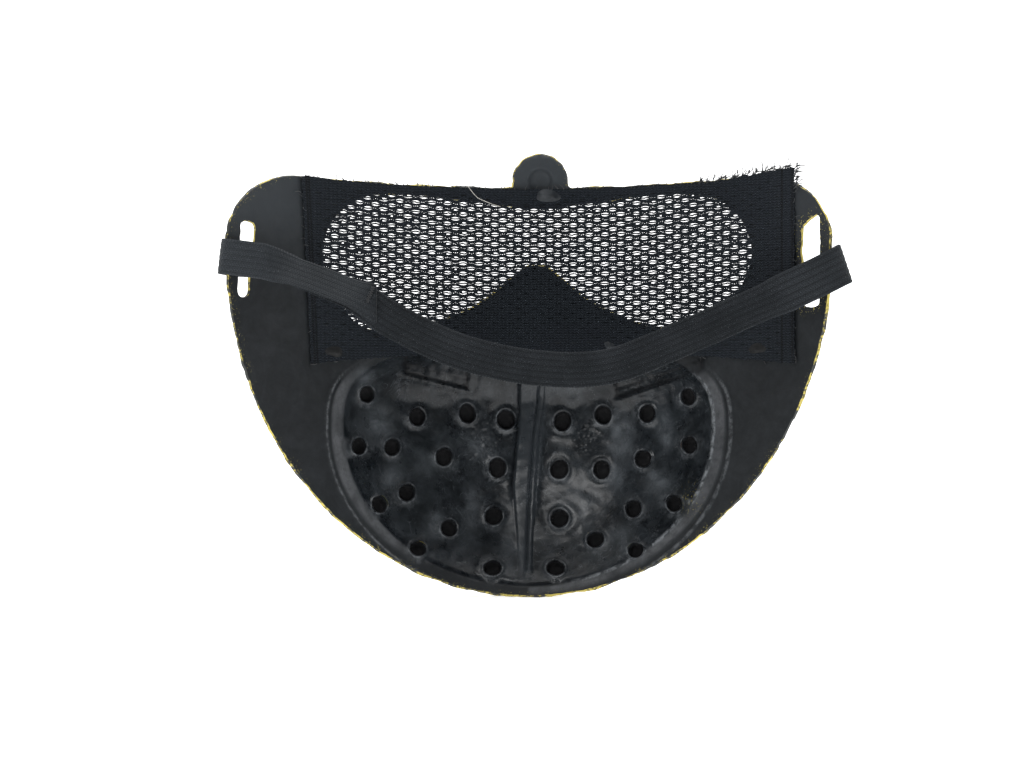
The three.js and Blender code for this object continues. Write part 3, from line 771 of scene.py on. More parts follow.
def glue_material(name, dark, pale):
    n = Nodes(name)
    cloud = n.noise(320, 3)
    bluish_dark = (dark, dark * 1.4, dark * 1.9)
    bluish_pale = (pale, pale * 1.12, pale * 1.25)
    base = n.mix(n.range(cloud, 0.35, 0.75, 0, 1), bluish_dark, bluish_pale)
    rough = n.range(cloud, 0.3, 0.7, 0.42, 0.65)
    return n.finish(base, rough, n.bump(cloud, 0.6, 0.0008), specular_ior_level=0.3)


# ---------- shell ----------

COARSE_STEP = 2.2              # between the mesh's points on the plain cheeks
FINE_STEP = 1.2                # between them in the muzzle
FINE_TOP = -26                 # highest fine point
FINE_REACH = 0.885             # share of the muzzle's reach that fine points fill, inside its edge rings
EDGE_CLEAR = 0.45              # from any outline to the nearest other point
VENT_CLEAR = 5.6               # from a vent's middle to the nearest point that isn't on its rings
VENT_AROUND = 22               # points round each vent

# Rings round each vent: radius and depth behind its mouth. None follows the sheet's own surface.
VENT_BACK = (
    (4.55, None), (4.05, None), (3.7, None), (3.35, None), (VENT_MOUTH, 0.25), (2.75, 1.9), (VENT_FLOOR, 2.7),
    (1.9, VENT_DEPTH), (0.9, VENT_DEPTH + 0.05),
)
VENT_FRONT = (
    (4.9, None), (4.7, None), (4.5, None), (4.3, None), (4.1, 0.9), (3.75, 2.4), (3.45, 3.3),
    (2.4, VENT_DEPTH + WALL), (1.1, VENT_DEPTH + WALL),
)


def hex_points(x0, x1, z0, z1, step):
    """Points of a slightly shaken triangular grid."""
    rows = np.arange(z0, z1, step * 0.866)
    xs = np.arange(x0, x1, step)
    grid = np.array([(x + (step / 2 if j % 2 else 0), z) for j, z in enumerate(rows) for x in xs])
    return grid + rng.uniform(-0.12, 0.12, grid.shape) * step


def beside(line, offsets, heights):
    """Points at each offset from a line, at each height."""
    return np.array([(line_x(line, z) + o, z) for z in heights for o in offsets])


def muzzle_edge_rings():
    """Rings of points that follow the muzzle's edge, closest where its ledge turns."""
    rings = np.array([0.9, 0.925, 0.942, 0.955, 0.968, 0.975, 0.982, 0.992, 1.004, 1.016,
                      1.028, 1.036, 1.043, 1.052, 1.061, 1.068, 1.078, 1.092, 1.11])
    turn = np.linspace(0, 2 * math.pi, 330, endpoint=False)
    dx, dz = np.cos(turn), np.sin(turn)
    unit = muzzle_reach(dx * 10, MUZZLE_CENTRE + dz * 10)
    return np.vstack([
        np.stack([dx * 10 * r / unit, MUZZLE_CENTRE + dz * 10 * r / unit], axis=1) for r in rings
    ])


def free_points(rim, holes):
    """The points of the shell's mesh that aren't on an outline or on a vent's rings."""
    band = muzzle_edge_rings()
    coarse = hex_points(-HALF_WIDTH, HALF_WIDTH, -CHIN_DROP, BROW_RISE + 14, COARSE_STEP)
    coarse_reach = muzzle_reach(coarse[:, 0], coarse[:, 1])
    coarse = coarse[(coarse_reach > 1.13) | (coarse[:, 1] > FINE_TOP)]
    fine = hex_points(-MUZZLE_HALF, MUZZLE_HALF, -CHIN_DROP, FINE_TOP, FINE_STEP)
    fine = fine[muzzle_reach(fine[:, 0], fine[:, 1]) < FINE_REACH]
    spine_z = np.arange(-119, -36, 1.1)
    spine = beside(RIDGE_LINE, (-3.3, -2.8, -2.3, -1.8, -1.3, -0.9, -0.45, 0, 0.45, 0.9, 1.4), spine_z)
    flank = beside(STRIP_LEFT, (-0.7, -0.2, 0.2, 0.6, 1.0, 1.5), spine_z)
    flank = flank[np.abs(flank[:, 0] - line_x(RIDGE_LINE, flank[:, 1])) > 2.5]
    spine = np.vstack([spine, flank])
    spine = spine[muzzle_reach(spine[:, 0], spine[:, 1]) < FINE_REACH]
    off_spine = fine[:, 0] - line_x(RIDGE_LINE, fine[:, 1])
    off_flank = fine[:, 0] - line_x(STRIP_LEFT, fine[:, 1])
    fine = fine[((off_spine < -3.9) | (off_spine > 2.0)) & ((off_flank < -1.3) | (off_flank > 2.1))]
    dish_rings = [arc(TAB_X, TAB_Z, r, r, 0, 345, 24) for r in (2.0, 3.4, 3.9, 4.4, 4.8, 5.4, 6.2)]
    tab_fill = hex_points(TAB_X - 10, TAB_X + 10, BROW_RISE - 4, BROW_RISE + 10, 1.3)
    near_dish = np.hypot(tab_fill[:, 0] - TAB_X, tab_fill[:, 1] - TAB_Z) < 6.9
    coarse = coarse[~((np.abs(coarse[:, 0] - TAB_X) < 10.5) & (coarse[:, 1] > BROW_RISE - 4.5))]
    free = np.vstack([coarse, fine, band, spine, tab_fill[~near_dish], *dish_rings])

    keep = inside(rim, free[:, 0], free[:, 1])
    for loop in holes:
        keep &= ~inside(loop, free[:, 0], free[:, 1])
    for loop in (rim, *holes):
        keep &= distance_to(loop, free[:, 0], free[:, 1]) > EDGE_CLEAR
    for centre, *_ in vent_frames:
        keep &= np.hypot(free[:, 0] - centre[0], free[:, 1] - centre[2]) > VENT_CLEAR
    return free[keep]


def vent_rings():
    """For each ring of each vent: its plan, its back, its front and how deep in shadow it lies."""
    a = np.arange(VENT_AROUND) * 2 * math.pi / VENT_AROUND
    out = []
    for centre, axis, e1, e2 in vent_frames:
        circle = np.cos(a)[:, None] * e1 + np.sin(a)[:, None] * e2
        squeeze = 1 + 0.05 * np.sin(2 * a + centre[0])[:, None]
        for (radius, depth), (front_radius, front_depth) in zip(VENT_BACK, VENT_FRONT):
            place = centre + circle * radius * squeeze
            outer = centre + circle * front_radius
            back = None if depth is None else place - axis * depth
            if front_depth is None:
                x, z = outer[:, 0], outer[:, 2]
                front = np.stack([x, shell_back(x, z), z], axis=1) - WALL * normals_of(plain_surface, x, z)
            else:
                front = outer - axis * front_depth
            pit_shade = 0.0 if depth is None else min(1, 0.35 + depth / 2)
            out.append((place[:, [0, 2]], back, front, pit_shade))
    return out


def slant_of_edge(loop, number):
    """How far each point of a cut edge leans out on the front: loop 0 is the rim, the others are holes."""
    tangent = np.roll(loop, -1, axis=0) - np.roll(loop, 1, axis=0)
    out = np.stack([tangent[:, 1], -tangent[:, 0]], axis=1)
    out /= np.linalg.norm(out, axis=1, keepdims=True)
    area = np.sum(loop[:, 0] * np.roll(loop[:, 1], -1) - loop[:, 1] * np.roll(loop[:, 0], -1))
    if area < 0:
        out = -out
    along = waves(loop[:, 0], loop[:, 1], 16, 31 + number)
    if number == 0:
        return out * (0.32 + 0.3 * along).clip(0.05, 0.7)[:, None]
    return -out * (0.25 + 0.2 * along).clip(0, 0.5)[:, None]


def shell_attributes(x, z, rim, right_slot, pit_shade):
    """Where the shell's materials change: each value runs from 0 to about 1 over the points."""
    reach = muzzle_reach(x, z)
    below = smooth(-38, -46, z)
    # painted highlight on the step walls round the muzzle, where they face the side lights
    left_band = smooth(0.975, 0.982, reach) * smooth(1.043, 1.03 - 0.03 * smooth(-80, -105, z), reach)
    left_band = left_band * smooth(-112, -100, z)
    right_band = smooth(0.982, 0.992, reach) * smooth(1.04, 1.03 - 0.025 * smooth(-85, -108, z), reach)
    gleam_right = below * smooth(-8, -25, x) * (bell(reach, 0.979, 0.006) + 0.4 * bell(reach, 1.064, 0.005))
    gleam_left = below * smooth(8, 25, x) * 0.35 * bell(reach, 1.061, 0.005)
    strip_right = line_x(STRIP_RIGHT, z)
    strip_left = line_x(STRIP_LEFT, z)
    in_strip = smooth(strip_right - 1, strip_right + 1, x) * smooth(strip_left + 1, strip_left - 1, x)
    # painted light: the upper cheeks are lighter where light falls on them from above
    upper_cheek_light = np.where(x > 0, 0.85, 0.5) * smooth(-8, 22, z) * smooth(60, 92, np.abs(x))
    rim_paint = smooth(1.6, 0.2, distance_to(rim, x, z)) * (0.25 + 0.5 * waves(x, z, 40, 43)).clip(0, 1)
    slot_paint = smooth(3.4, 0.4, distance_to(right_slot, x, z)) * 0.8
    paint_patch = 0.75 * np.exp(-((x + 59.5) / 3) ** 2 - ((z + 87) / 4.5) ** 2)
    rough = [np.exp(-(((x - sx) / wx) ** 2 + ((z - sz) / wz) ** 2) ** 2) for sx, sz, wx, wz in STIPPLES]
    band_highlight_breakup = (0.8 + 0.35 * waves(x, z, 12, 41)).clip(0, 1)
    return {
        "muzzle": smooth(1.0, 0.95, reach),
        "band": below * band_highlight_breakup * np.where(x > 0, left_band, right_band),
        "gleam": gleam_right + gleam_left,
        # painted highlight patches in the muzzle
        "painted_highlight": highlight_patches(x, z) * (0.8 + 0.3 * waves(x, z, 6, 42)).clip(0, 1),
        "tone": upper_cheek_light + tab_share(x, z) + 0.9 * smooth(0.97, 0.9, reach) * in_strip,
        # painted highlight on the vents' lips
        "painted_lip_highlight": lip_highlight(x, z) * (1 - pit_shade),
        # painted shade in the vents and on the pocket floors
        "pit_shade": np.maximum(pit_shade, 0.75 * in_pockets(x, z)),
        "edge": np.maximum(rim_paint, np.maximum(slot_paint, paint_patch)),
        "stipple": sum(rough),
    }


def two_sided(triangles, count):
    """Faces of a closed sheet: its near side, its far side (count points on) and the walls at its edges."""
    sides = boundary_edges(triangles.tolist())
    near = [(int(a), int(c), int(b)) for a, b, c in triangles]
    far = [(int(a) + count, int(b) + count, int(c) + count) for a, b, c in triangles]
    walls = [(int(a), int(b), int(b) + count, int(a) + count) for a, b in sides]
    return near, far, walls


def make_shell():
    rim = ragged(closed(rim_outline(), 1.1), 0.13, 21)
    window = ragged(closed(window_outline(), 1.3), 0.1, 22)
    slots = [ragged(closed(slot_outline(*s), 0.9), 0.14, 23 + i) for i, s in enumerate(SLOTS)]
    loops = [rim, window, *slots]
    vents = vent_rings()

    outline_xz = np.vstack(loops)
    points = np.vstack([outline_xz, *[plan for plan, *_ in vents], free_points(rim, loops[1:])])
    starts = np.cumsum([0] + [len(loop) for loop in loops])
    loop_ids = [list(range(starts[i], starts[i + 1])) for i in range(len(loops))]
    verts, triangles, source = triangulate(points, loop_ids)
    middle = verts[triangles].mean(axis=1)
    keep = inside(rim, middle[:, 0], middle[:, 1])
    for loop in loops[1:]:
        keep &= ~inside(loop, middle[:, 0], middle[:, 1])
    triangles = triangles[keep]

    x, z = verts[:, 0], verts[:, 1]
    back = np.stack([x, shell_back(x, z) + vent_lips(x, z), z], axis=1)
    front = back - WALL * normals_of(plain_surface, x, z)
    pit_shade = np.zeros(len(verts))
    number = {int(s): i for i, s in enumerate(source) if s >= 0}
    for k, (_plan, ring_back, ring_front, ring_shade) in enumerate(vents):
        start = len(outline_xz) + k * VENT_AROUND
        ids = np.array([number[start + i] for i in range(VENT_AROUND)])
        if ring_back is not None:
            back[ids] = ring_back
        front[ids] = ring_front
        pit_shade[ids] = ring_shade

    # The cut edge slants, so a sliver of the painted front shows from behind.
    for loop_number, ids in enumerate(loop_ids):
        mapped = np.array([number[i] for i in ids])
        lean = slant_of_edge(points[ids], loop_number)
        front[mapped, 0] += lean[:, 0]
        front[mapped, 2] += lean[:, 1]

    near, far, walls = two_sided(triangles, len(verts))
    kinds = [0] * len(near) + [1] * len(far) + [2] * len(walls)
    one_side = shell_attributes(x, z, rim, slots[1], pit_shade)
    attributes = {key: np.concatenate([value, value]) for key, value in one_side.items()}
    materials = [shell_inner_material(), shell_outer_material(), rim_material()]
    shell = add_mesh("shell", np.vstack([back, front]), near + far + walls, materials, kinds, 50, attributes)
    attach(shell, "mask")
    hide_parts("face_shell")


# ---------- eye mesh ----------

HOLE_PITCH = 5.85              # between holes of one row
HOLE_ROW = 1.9                 # between rows, which are staggered
HOLE_WIDTH = 3.8
HOLE_HEIGHT = 1.3
THREAD = 0.58                  # the thread that crosses each hole
PANEL_SLANT = 3.2              # how far the panel's left edge leans in, top to bottom
PANEL_CENTRE = (PANEL_LEFT + PANEL_RIGHT) / 2
PANEL_HALF = (PANEL_LEFT - PANEL_RIGHT) / 2
PANEL_HEIGHT = PANEL_TOP - PANEL_BOTTOM
ROW_DIP = 4.0                  # how far the knit's top row hangs in the middle
HOLE_CLEAR = 1.8               # from the panel's edge to the nearest hole
# The upper half of a hole's outline, in its half-widths and half-heights, and where its thread has points.
HOLE_ARCH = np.array([(-1, 0), (-0.62, 0.62), (-0.2, 1), (0.25, 0.96), (0.66, 0.58), (1, 0)])
THREAD_AT = np.array([0.86, 0.15, -0.2, -0.86])
PIN = np.array([(-0.3, 0), (0, 0.15), (0.3, 0), (0, -0.15)])   # a small gap between the holes of a row


def panel_surface(x, z):
    """Depth of the shell's side of the mesh, with its doubled edges and a little slackness."""
    hem_left = smooth(PANEL_LEFT - 2.6, PANEL_LEFT - 2.2, x)
    hem_right = smooth(PANEL_RIGHT + 5.6, PANEL_RIGHT + 5.2, x)
    slack = 0.15 * waves(x, z, 40, 51) + 0.06 * waves(x, z, 9, 52)
    return face_surface(x, z) + slack + 0.22 * (hem_left + hem_right)


def row_height(x, t):
    """Height of the knit's row at level t, which hangs a little in the middle."""
    middle = 1 - ((x - PANEL_CENTRE) / PANEL_HALF) ** 2
    share = np.clip((t - PANEL_BOTTOM) / PANEL_HEIGHT, 0, 1)
    return t - ROW_DIP * middle * (0.3 + 0.7 * share)


def panel_outline():
    """The mesh's cut edge: nearly straight, dipped in the middle, and frayed."""
    xs = np.linspace(PANEL_RIGHT, PANEL_LEFT, 220)
    middle = 1 - ((xs - PANEL_CENTRE) / PANEL_HALF) ** 2
    frayed = np.random.default_rng(61).uniform(-0.5, 0.15, len(xs))
    corner = 2.2 * smooth(PANEL_RIGHT + 34, PANEL_RIGHT + 4, xs)
    top = np.stack([xs, PANEL_TOP - PANEL_DIP * middle + frayed + corner], axis=1)
    tucked = PANEL_RIGHT + (xs - PANEL_RIGHT) * (1 - PANEL_SLANT / (PANEL_LEFT - PANEL_RIGHT))
    bottom = np.stack([tucked, PANEL_BOTTOM + PANEL_LIFT * middle - frayed * 0.8], axis=1)
    zs = np.linspace(PANEL_BOTTOM, PANEL_TOP, 60)[1:-1]
    wobble = np.random.default_rng(62).uniform(-0.15, 0.3, len(zs))
    left = np.stack([PANEL_LEFT - PANEL_SLANT * (PANEL_TOP - zs) / PANEL_HEIGHT - wobble, zs], axis=1)
    right = np.stack([PANEL_RIGHT + wobble[::-1], zs], axis=1)
    return np.vstack([bottom, left, top[::-1], right[::-1]])


def open_hole(width, height, phase, wiggle, draw):
    """An open hole as two halves with a thread across, and three pins between it and the next."""
    thread = wiggle * np.sin(THREAD_AT * 4.2 + phase)
    upper = np.stack([THREAD_AT * width, thread + THREAD / 2], axis=1)
    lower = np.stack([THREAD_AT[::-1] * width, thread[::-1] - THREAD / 2], axis=1)
    arch = HOLE_ARCH[1:-1] * [width, height]
    shapes = [np.vstack([arch, upper]), np.vstack([arch[::-1] * [1, -1], lower])]
    for side in (-1, 0, 1):
        pin = np.array([side * 0.7 + HOLE_PITCH / 2, draw.uniform(-0.3, 0.3)])
        shapes.append(pin + draw.uniform(0.5, 0.95) * PIN)
    return shapes


def knit_holes(outline):
    """Every hole of the knit: open in the window, and a narrow slit where the cloth is backed."""
    draw = np.random.default_rng(63)
    window = window_outline()
    holes = []
    rows = int((PANEL_HEIGHT + ROW_DIP) / HOLE_ROW) + 3
    columns = int((PANEL_LEFT - PANEL_RIGHT) / HOLE_PITCH) + 2
    for j in range(rows):
        for i in range(columns):
            cx = PANEL_RIGHT + (i + (0.5 if j % 2 else 0)) * HOLE_PITCH
            centre = np.array([cx, PANEL_BOTTOM + j * HOLE_ROW]) + draw.uniform(-0.12, 0.12, 2)
            width = HOLE_WIDTH * draw.uniform(0.9, 1.08) / 2
            height = HOLE_HEIGHT * draw.uniform(0.86, 1.06) / 2
            phase, wiggle = draw.uniform(0, 2 * math.pi), draw.uniform(0.08, 0.24)
            x, z = centre[:1], np.array([float(row_height(*centre))])
            if inside(window, x, z)[0] or distance_to(window, x, z)[0] < 2.5:
                shapes = open_hole(width, height, phase, wiggle, draw)
            else:
                arch = HOLE_ARCH * [width * 0.7, height * 0.24]
                shapes = [np.vstack([arch, arch[1:-1][::-1] * [1, -1]])]
            for shape in shapes:
                plan = shape + centre
                plan[:, 1] = row_height(plan[:, 0], plan[:, 1])
                holes.append(plan)
    flat = np.vstack(holes)
    owner = np.concatenate([np.full(len(h), k) for k, h in enumerate(holes)])
    bad = distance_to(outline, flat[:, 0], flat[:, 1]) < HOLE_CLEAR
    for edge in (outline, rim_outline()):
        bad |= ~inside(edge, flat[:, 0], flat[:, 1])
    dropped = set(owner[bad].tolist())
    return [h for k, h in enumerate(holes) if k not in dropped]


def make_eye_mesh():
    outline = panel_outline()
    holes = knit_holes(outline)
    points = np.vstack([outline, *holes])
    starts = np.cumsum([0, len(outline)] + [len(h) for h in holes])
    loop_ids = [list(range(starts[i], starts[i + 1])) for i in range(len(starts) - 1)]
    verts, triangles, source = triangulate(points, loop_ids)
    hole_of = np.full(len(points), -1)
    for k, ids in enumerate(loop_ids[1:]):
        hole_of[ids] = k
    owners = np.where(source >= 0, hole_of[source], -1)[triangles]
    in_hole = (owners[:, 0] >= 0) & (owners[:, 0] == owners[:, 1]) & (owners[:, 1] == owners[:, 2])
    middle = verts[triangles].mean(axis=1)
    keep = ~in_hole & inside(outline, middle[:, 0], middle[:, 1])
    triangles = triangles[keep]

    x, z = verts[:, 0], verts[:, 1]
    normal = normals_of(panel_surface, x, z)
    base = np.stack([x, panel_surface(x, z), z], axis=1)
    near = base + normal * PANEL_GAP
    far = base + normal * (PANEL_GAP + PANEL_THICK)
    back, front, walls = two_sided(triangles[:, [0, 2, 1]], len(verts))
    faces = back + front + walls
    mesh = add_mesh("eye_mesh_knit", np.vstack([near, far]), faces, [mesh_material()], smooth_angle=30)
    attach(mesh, "mask")
    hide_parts("eye_mesh")


# ---------- strap ----------

# How the run hangs: share of the way out to a seam (the left one is 1), and share of STRAP_SAG.
RUN_SAG = (
    (1, 0), (0.86, 0.155), (0.71, 0.31), (0.575, 0.47), (0.485, 0.59), (0.395, 0.705), (0.3, 0.81),
    (0.18, 0.9), (0.06, 0.965), (-0.06, 1.005), (-0.19, 1.015), (-0.3, 0.985), (-0.435, 0.875),
    (-0.65, 0.645), (-0.87, 0.4),
)
LEFT_HEIGHT, LEFT_SLOPE = -1.1, 0.115
RIGHT_HEIGHT, RIGHT_SLOPE = -10.9, 0.49
LEFT_TURN = math.radians(37)   # how far the left strap is turned on edge between the slot and its tail's end
LEFT_TAIL_END = float(tail_left_low[0]) + 2
RIGHT_TAIL_END = float(tail_right_high[0]) - 2
BAR_BACK = float(face_surface(np.array([SLOT_OUTER]), np.array([0.0]))[0])

# Each loop from above, as distance out and depth. The left one goes forward through the slot and comes back
# round the rim, and the right one goes forward round the rim and comes back through the slot.
LEFT_PLAN = (
    (STRAP_JOIN + 0.6, 0), (SLOT_INNER + 1.2, -0.6), (SLOT_OUTER - 2.4, BAR_BACK + 1.1),
    (SLOT_OUTER - 1.5, BAR_BACK - 1.3), (SLOT_OUTER - 0.4, BAR_BACK - 2.9),
    (SLOT_OUTER + 1.4, BAR_BACK - 2.7), (HALF_WIDTH + 0.9, BAR_BACK / 2 - 2.6),
    (HALF_WIDTH + 2.6, -2.2), (HALF_WIDTH + 2.5, 0),
    (HALF_WIDTH + 0.8, STRAP_LAYER - 0.1), (SLOT_OUTER, STRAP_LAYER), (STRAP_JOIN + 0.6, STRAP_LAYER),
)
RIGHT_PLAN = (
    (STRAP_JOIN + 0.6, 0), (SLOT_OUTER, 0), (HALF_WIDTH + 2.9, -0.1), (HALF_WIDTH + 5.1, -0.9),
    (HALF_WIDTH + 5.9, -2.6), (HALF_WIDTH + 4.6, -4.4), (HALF_WIDTH + 1.6, BAR_BACK - 2.1),
    (SLOT_OUTER + 1, BAR_BACK - 3.3), (SLOT_OUTER - 0.9, BAR_BACK - 3.1), (SLOT_OUTER - 2.2, BAR_BACK - 1.1),
    (SLOT_OUTER - 3.6, BAR_BACK + 1.1), (SLOT_INNER + 0.2, -STRAP_LAYER - 0.3),
    (STRAP_JOIN + 0.6, -STRAP_LAYER),
)


def run_line():
    points = [(across * STRAP_JOIN, LEFT_HEIGHT - share * STRAP_SAG) for across, share in RUN_SAG]
    return spline(points + [(-STRAP_JOIN, RIGHT_HEIGHT)], 12)


def strap_centre(side):
    """The strap's middle line from the middle of the run, out round the bar and back to the tail's end."""
    line = run_line()
    order = np.argsort(line[:, 0])
    xs = side * np.linspace(0, STRAP_JOIN, 100)
    hidden = 1.3 * smooth(STRAP_JOIN, STRAP_JOIN - 10, xs) * smooth(50, 60, xs)   # behind the left tail
    run = np.stack([xs, np.zeros(100), np.interp(xs, line[order, 0], line[order, 1]) + hidden], axis=1)
    if side > 0:
        height, slope, plan = LEFT_HEIGHT, LEFT_SLOPE, LEFT_PLAN
        tail_end, tail_slope, curl = LEFT_TAIL_END, 0.378, -2.5
    else:
        height, slope, plan = RIGHT_HEIGHT, RIGHT_SLOPE, RIGHT_PLAN
        tail_end, tail_slope, curl = RIGHT_TAIL_END, 0.445, 0
    loop = spline(plan, 8)
    loop = np.stack([side * loop[:, 0], loop[:, 1], height + slope * (loop[:, 0] - STRAP_JOIN)], axis=1)
    t = np.linspace(0, 1, 40)
    length = STRAP_JOIN - abs(tail_end)
    tail = np.stack([
        side * (STRAP_JOIN - t * length), np.full(40, side * STRAP_LAYER),
        height - tail_slope * t * length - curl * t * (1 - t),
    ], axis=1)
    return run, loop, tail


STRAP_STEP = 0.9               # between the strap's cross-sections
STRAP_RIBS = 6                 # grooves across it, between its rubber cords: an even number
POINTS_PER_RIB = 8
RIB_DEPTH = 0.16


def strap_directions(side, centre):
    """The strap's width and thickness directions at each point of its middle line."""
    tangent = np.gradient(centre, axis=0)
    tangent[0] = [side, 0, tangent[0][2] / abs(tangent[0][0])]
    flat = np.hypot(tangent[:, 0], tangent[:, 1])
    slope = tangent[:, 2] / flat
    loop_slope = LEFT_SLOPE if side > 0 else RIGHT_SLOPE
    upright = np.array([0, 0, math.hypot(1, loop_slope)])
    loop_lean = loop_slope * (1 if side > 0 else 0.68)
    leaning = np.array([-side * loop_lean, 0, 1]) * (1.12 if side < 0 else 1) / math.hypot(1, loop_lean)
    away = np.abs(centre[:, 0])
    lean = np.ones(len(centre))
    if side < 0:
        past_fold = np.arange(len(centre)) > away.argmax()
        outside_bar = smooth(SLOT_OUTER + 1, HALF_WIDTH + 5, away)
        inside_bar = smooth(SLOT_INNER + 0.5, STRAP_JOIN, away)
        lean = np.where(past_fold, np.maximum(outside_bar, inside_bar), 1)
    looped = upright + (leaning - upright) * lean[:, None]
    plan = tangent[:, :2] / flat[:, None]
    square = np.stack([-slope * plan[:, 0], -slope * plan[:, 1], np.ones_like(slope)], axis=1)
    square /= np.hypot(1, slope)[:, None]
    straight = np.stack([np.zeros_like(slope), np.zeros_like(slope), np.hypot(1, slope)], axis=1)
    out = smooth(STRAP_JOIN - 12, STRAP_JOIN - 2, away)[:, None]
    in_tail = np.arange(len(centre)) > away.argmax()
    at_ends = smooth(6, 0, away) * ~in_tail
    if side > 0:
        at_ends = np.maximum(at_ends, smooth(abs(LEFT_TAIL_END) + 7, abs(LEFT_TAIL_END), away) * in_tail)
    at_ends = at_ends[:, None]
    width_way = (square * (1 - at_ends) + straight * at_ends) * (1 - out) + looped * out
    if side > 0:
        turned = LEFT_TURN * smooth(STRAP_JOIN + 2, STRAP_JOIN - 12, away) * smooth(51, 64, away)
        width_way = width_way * np.cos(turned)[:, None] - np.outer(np.sin(turned), (0, 1, 0))
    thick_way = np.stack([-plan[:, 1], plan[:, 0], np.zeros(len(plan))], axis=1) * side
    return width_way, thick_way


def make_half_strap(side):
    """Half the strap: the run from its middle, the loop round the slot's bar and the tail sewn back."""
    run, loop, tail = strap_centre(side)
    centre = resample(np.vstack([run, loop[1:-1], tail]), STRAP_STEP)
    centre[1:-1] = (centre[:-2] + 2 * centre[1:-1] + centre[2:]) / 4
    along = np.concatenate([[0], np.cumsum(np.linalg.norm(np.diff(centre, axis=0), axis=1))])
    width_way, thick_way = strap_directions(side, centre)
    v = np.linspace(-1, 1, STRAP_RIBS * POINTS_PER_RIB + 1)
    rib = np.abs(np.cos(v * STRAP_RIBS * math.pi / 2)) ** 0.6
    edge = 1 - smooth(0.93, 1.0, np.abs(v)) * 0.5
    half = (STRAP_THICK / 2 - RIB_DEPTH + RIB_DEPTH * rib) * edge
    wobble = 0.12 * waves(along, np.zeros_like(along), 23, 71 + side)
    sway = 0.18 * waves(along, np.zeros_like(along) + 9, 15, 75 + side)
    meets_other_half = 1 - smooth(0, 8, along)
    wobble, sway = wobble * (1 - meets_other_half), sway * (1 - meets_other_half)
    rows = []
    for front in (1, -1):
        order = v if front == 1 else v[::-1]
        thick = half if front == 1 else half[::-1]
        line = centre[:, None, :] + width_way[:, None, :] * (order * STRAP_WIDTH / 2)[None, :, None]
        line = line + thick_way[:, None, :] * (front * thick)[None, :, None]
        line = line + thick_way[:, None, :] * (sway[:, None] * np.abs(order)[None, :] * 0.5)[:, :, None]
        line = line + width_way[:, None, :] * (wobble[:, None, None])
        rows.append((line, order))
    ring = np.concatenate([rows[0][0], rows[1][0]], axis=1)
    across = np.concatenate([rows[0][1], rows[1][1]]) * STRAP_WIDTH / 2
    n, m = ring.shape[:2]
    points = ring.reshape(-1, 3)
    faces = []
    for i in range(n - 1):
        for k in range(m):
            p, q = i * m + k, i * m + (k + 1) % m
            faces.append((p, q, q + m, p + m) if side > 0 else (p, p + m, q + m, q))
    first_end = list(range(m))
    last_end = [(n - 1) * m + k for k in range(m)]
    faces.append(first_end[::side * -1])
    faces.append(last_end[::side])
    place = np.stack([np.repeat(along, m), np.tile(across, n), np.zeros(n * m)], axis=1)
    x = points[:, 0]
    # the strap is paler towards both loops and along the left end of the run
    paler_share = smooth(52, 58, x) * 0.3 + smooth(84, 98, x) * 0.4 + smooth(-70, -100, x) * 0.35
    paler_share = paler_share + 0.12 * waves(np.repeat(along, m), np.tile(across, n), 18, 81)
    rib_all = np.concatenate([rib, rib[::-1]])
    # painted shade in the grooves between the cords, less on the turned left end
    groove_shade = np.tile(1 - rib_all, n) * (1 - 0.6 * smooth(50, 60, x))
    name = "strap_left" if side > 0 else "strap_right"
    attributes = {"place": place, "paler_share": paler_share.clip(0, 1), "groove_shade": groove_shade}
    return add_mesh(name, points, faces, [elastic], smooth_angle=55, attributes=attributes)


def blend_with_strap(piece):
    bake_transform(piece)


def tube(points, radius, sides=6):
    """Vertices and faces of a thin closed tube along a polyline."""
    p = np.asarray(points, dtype=float)
    tangent = np.gradient(p, axis=0)
    tangent /= np.linalg.norm(tangent, axis=1, keepdims=True)
    up = np.array([0.3, 0.2, 1.0])
    first = np.cross(tangent, up)
    first /= np.linalg.norm(first, axis=1, keepdims=True)
    second = np.cross(tangent, first)
    a = np.arange(sides) * 2 * math.pi / sides
    size = np.full(len(p), radius)
    size[[0, -1]] = radius * 0.4
    ring = p[:, None, :] + size[:, None, None] * (
        np.cos(a)[None, :, None] * first[:, None, :] + np.sin(a)[None, :, None] * second[:, None, :]
    )
    faces = []
    for i in range(len(p) - 1):
        for k in range(sides):
            u, w = i * sides + k, i * sides + (k + 1) % sides
            faces.append((u, u + sides, w + sides, w))
    faces.append(tuple(range(sides)))
    faces.append(tuple((len(p) - 1) * sides + k for k in range(sides))[::-1])
    return ring.reshape(-1, 3), faces


def join_tubes(tubes):
    points, faces, total = [], [], 0
    for p, f in tubes:
        points.append(p)
        faces += [tuple(i + total for i in face) for face in f]
        total += len(p)
    return np.vstack(points), faces


def make_bar_tack(side):
    """A zigzag of thread across the strap near a tail's end."""
    node = "bar_tack_left" if side > 0 else "bar_tack_right"
    low, high = box_mm(node)
    _, _, tail = strap_centre(side)
    end, before = tail[-1], tail[-6]
    along = (end - before) / np.linalg.norm(end - before)
    across = np.array([-along[2], 0, along[0]])
    centre = (low + high) / 2
    lift = side * (STRAP_LAYER + STRAP_THICK / 2 + 0.12)
    turns = 26
    t = np.linspace(-1, 1, turns)
    zigzag = np.where(np.arange(turns) % 2 == 0, 0.8, -0.8)
    points = centre + across * (t * (STRAP_WIDTH - 2.4) / 2)[:, None] + along * zigzag[:, None]
    points[:, 1] = lift
    points, faces = tube(resample(points, 0.5), 0.16)
    piece = add_mesh("tack_left" if side > 0 else "tack_right", points, faces, [dark_thread])
    blend_with_strap(piece)
    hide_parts(node)


# ---------- threads and glue ----------

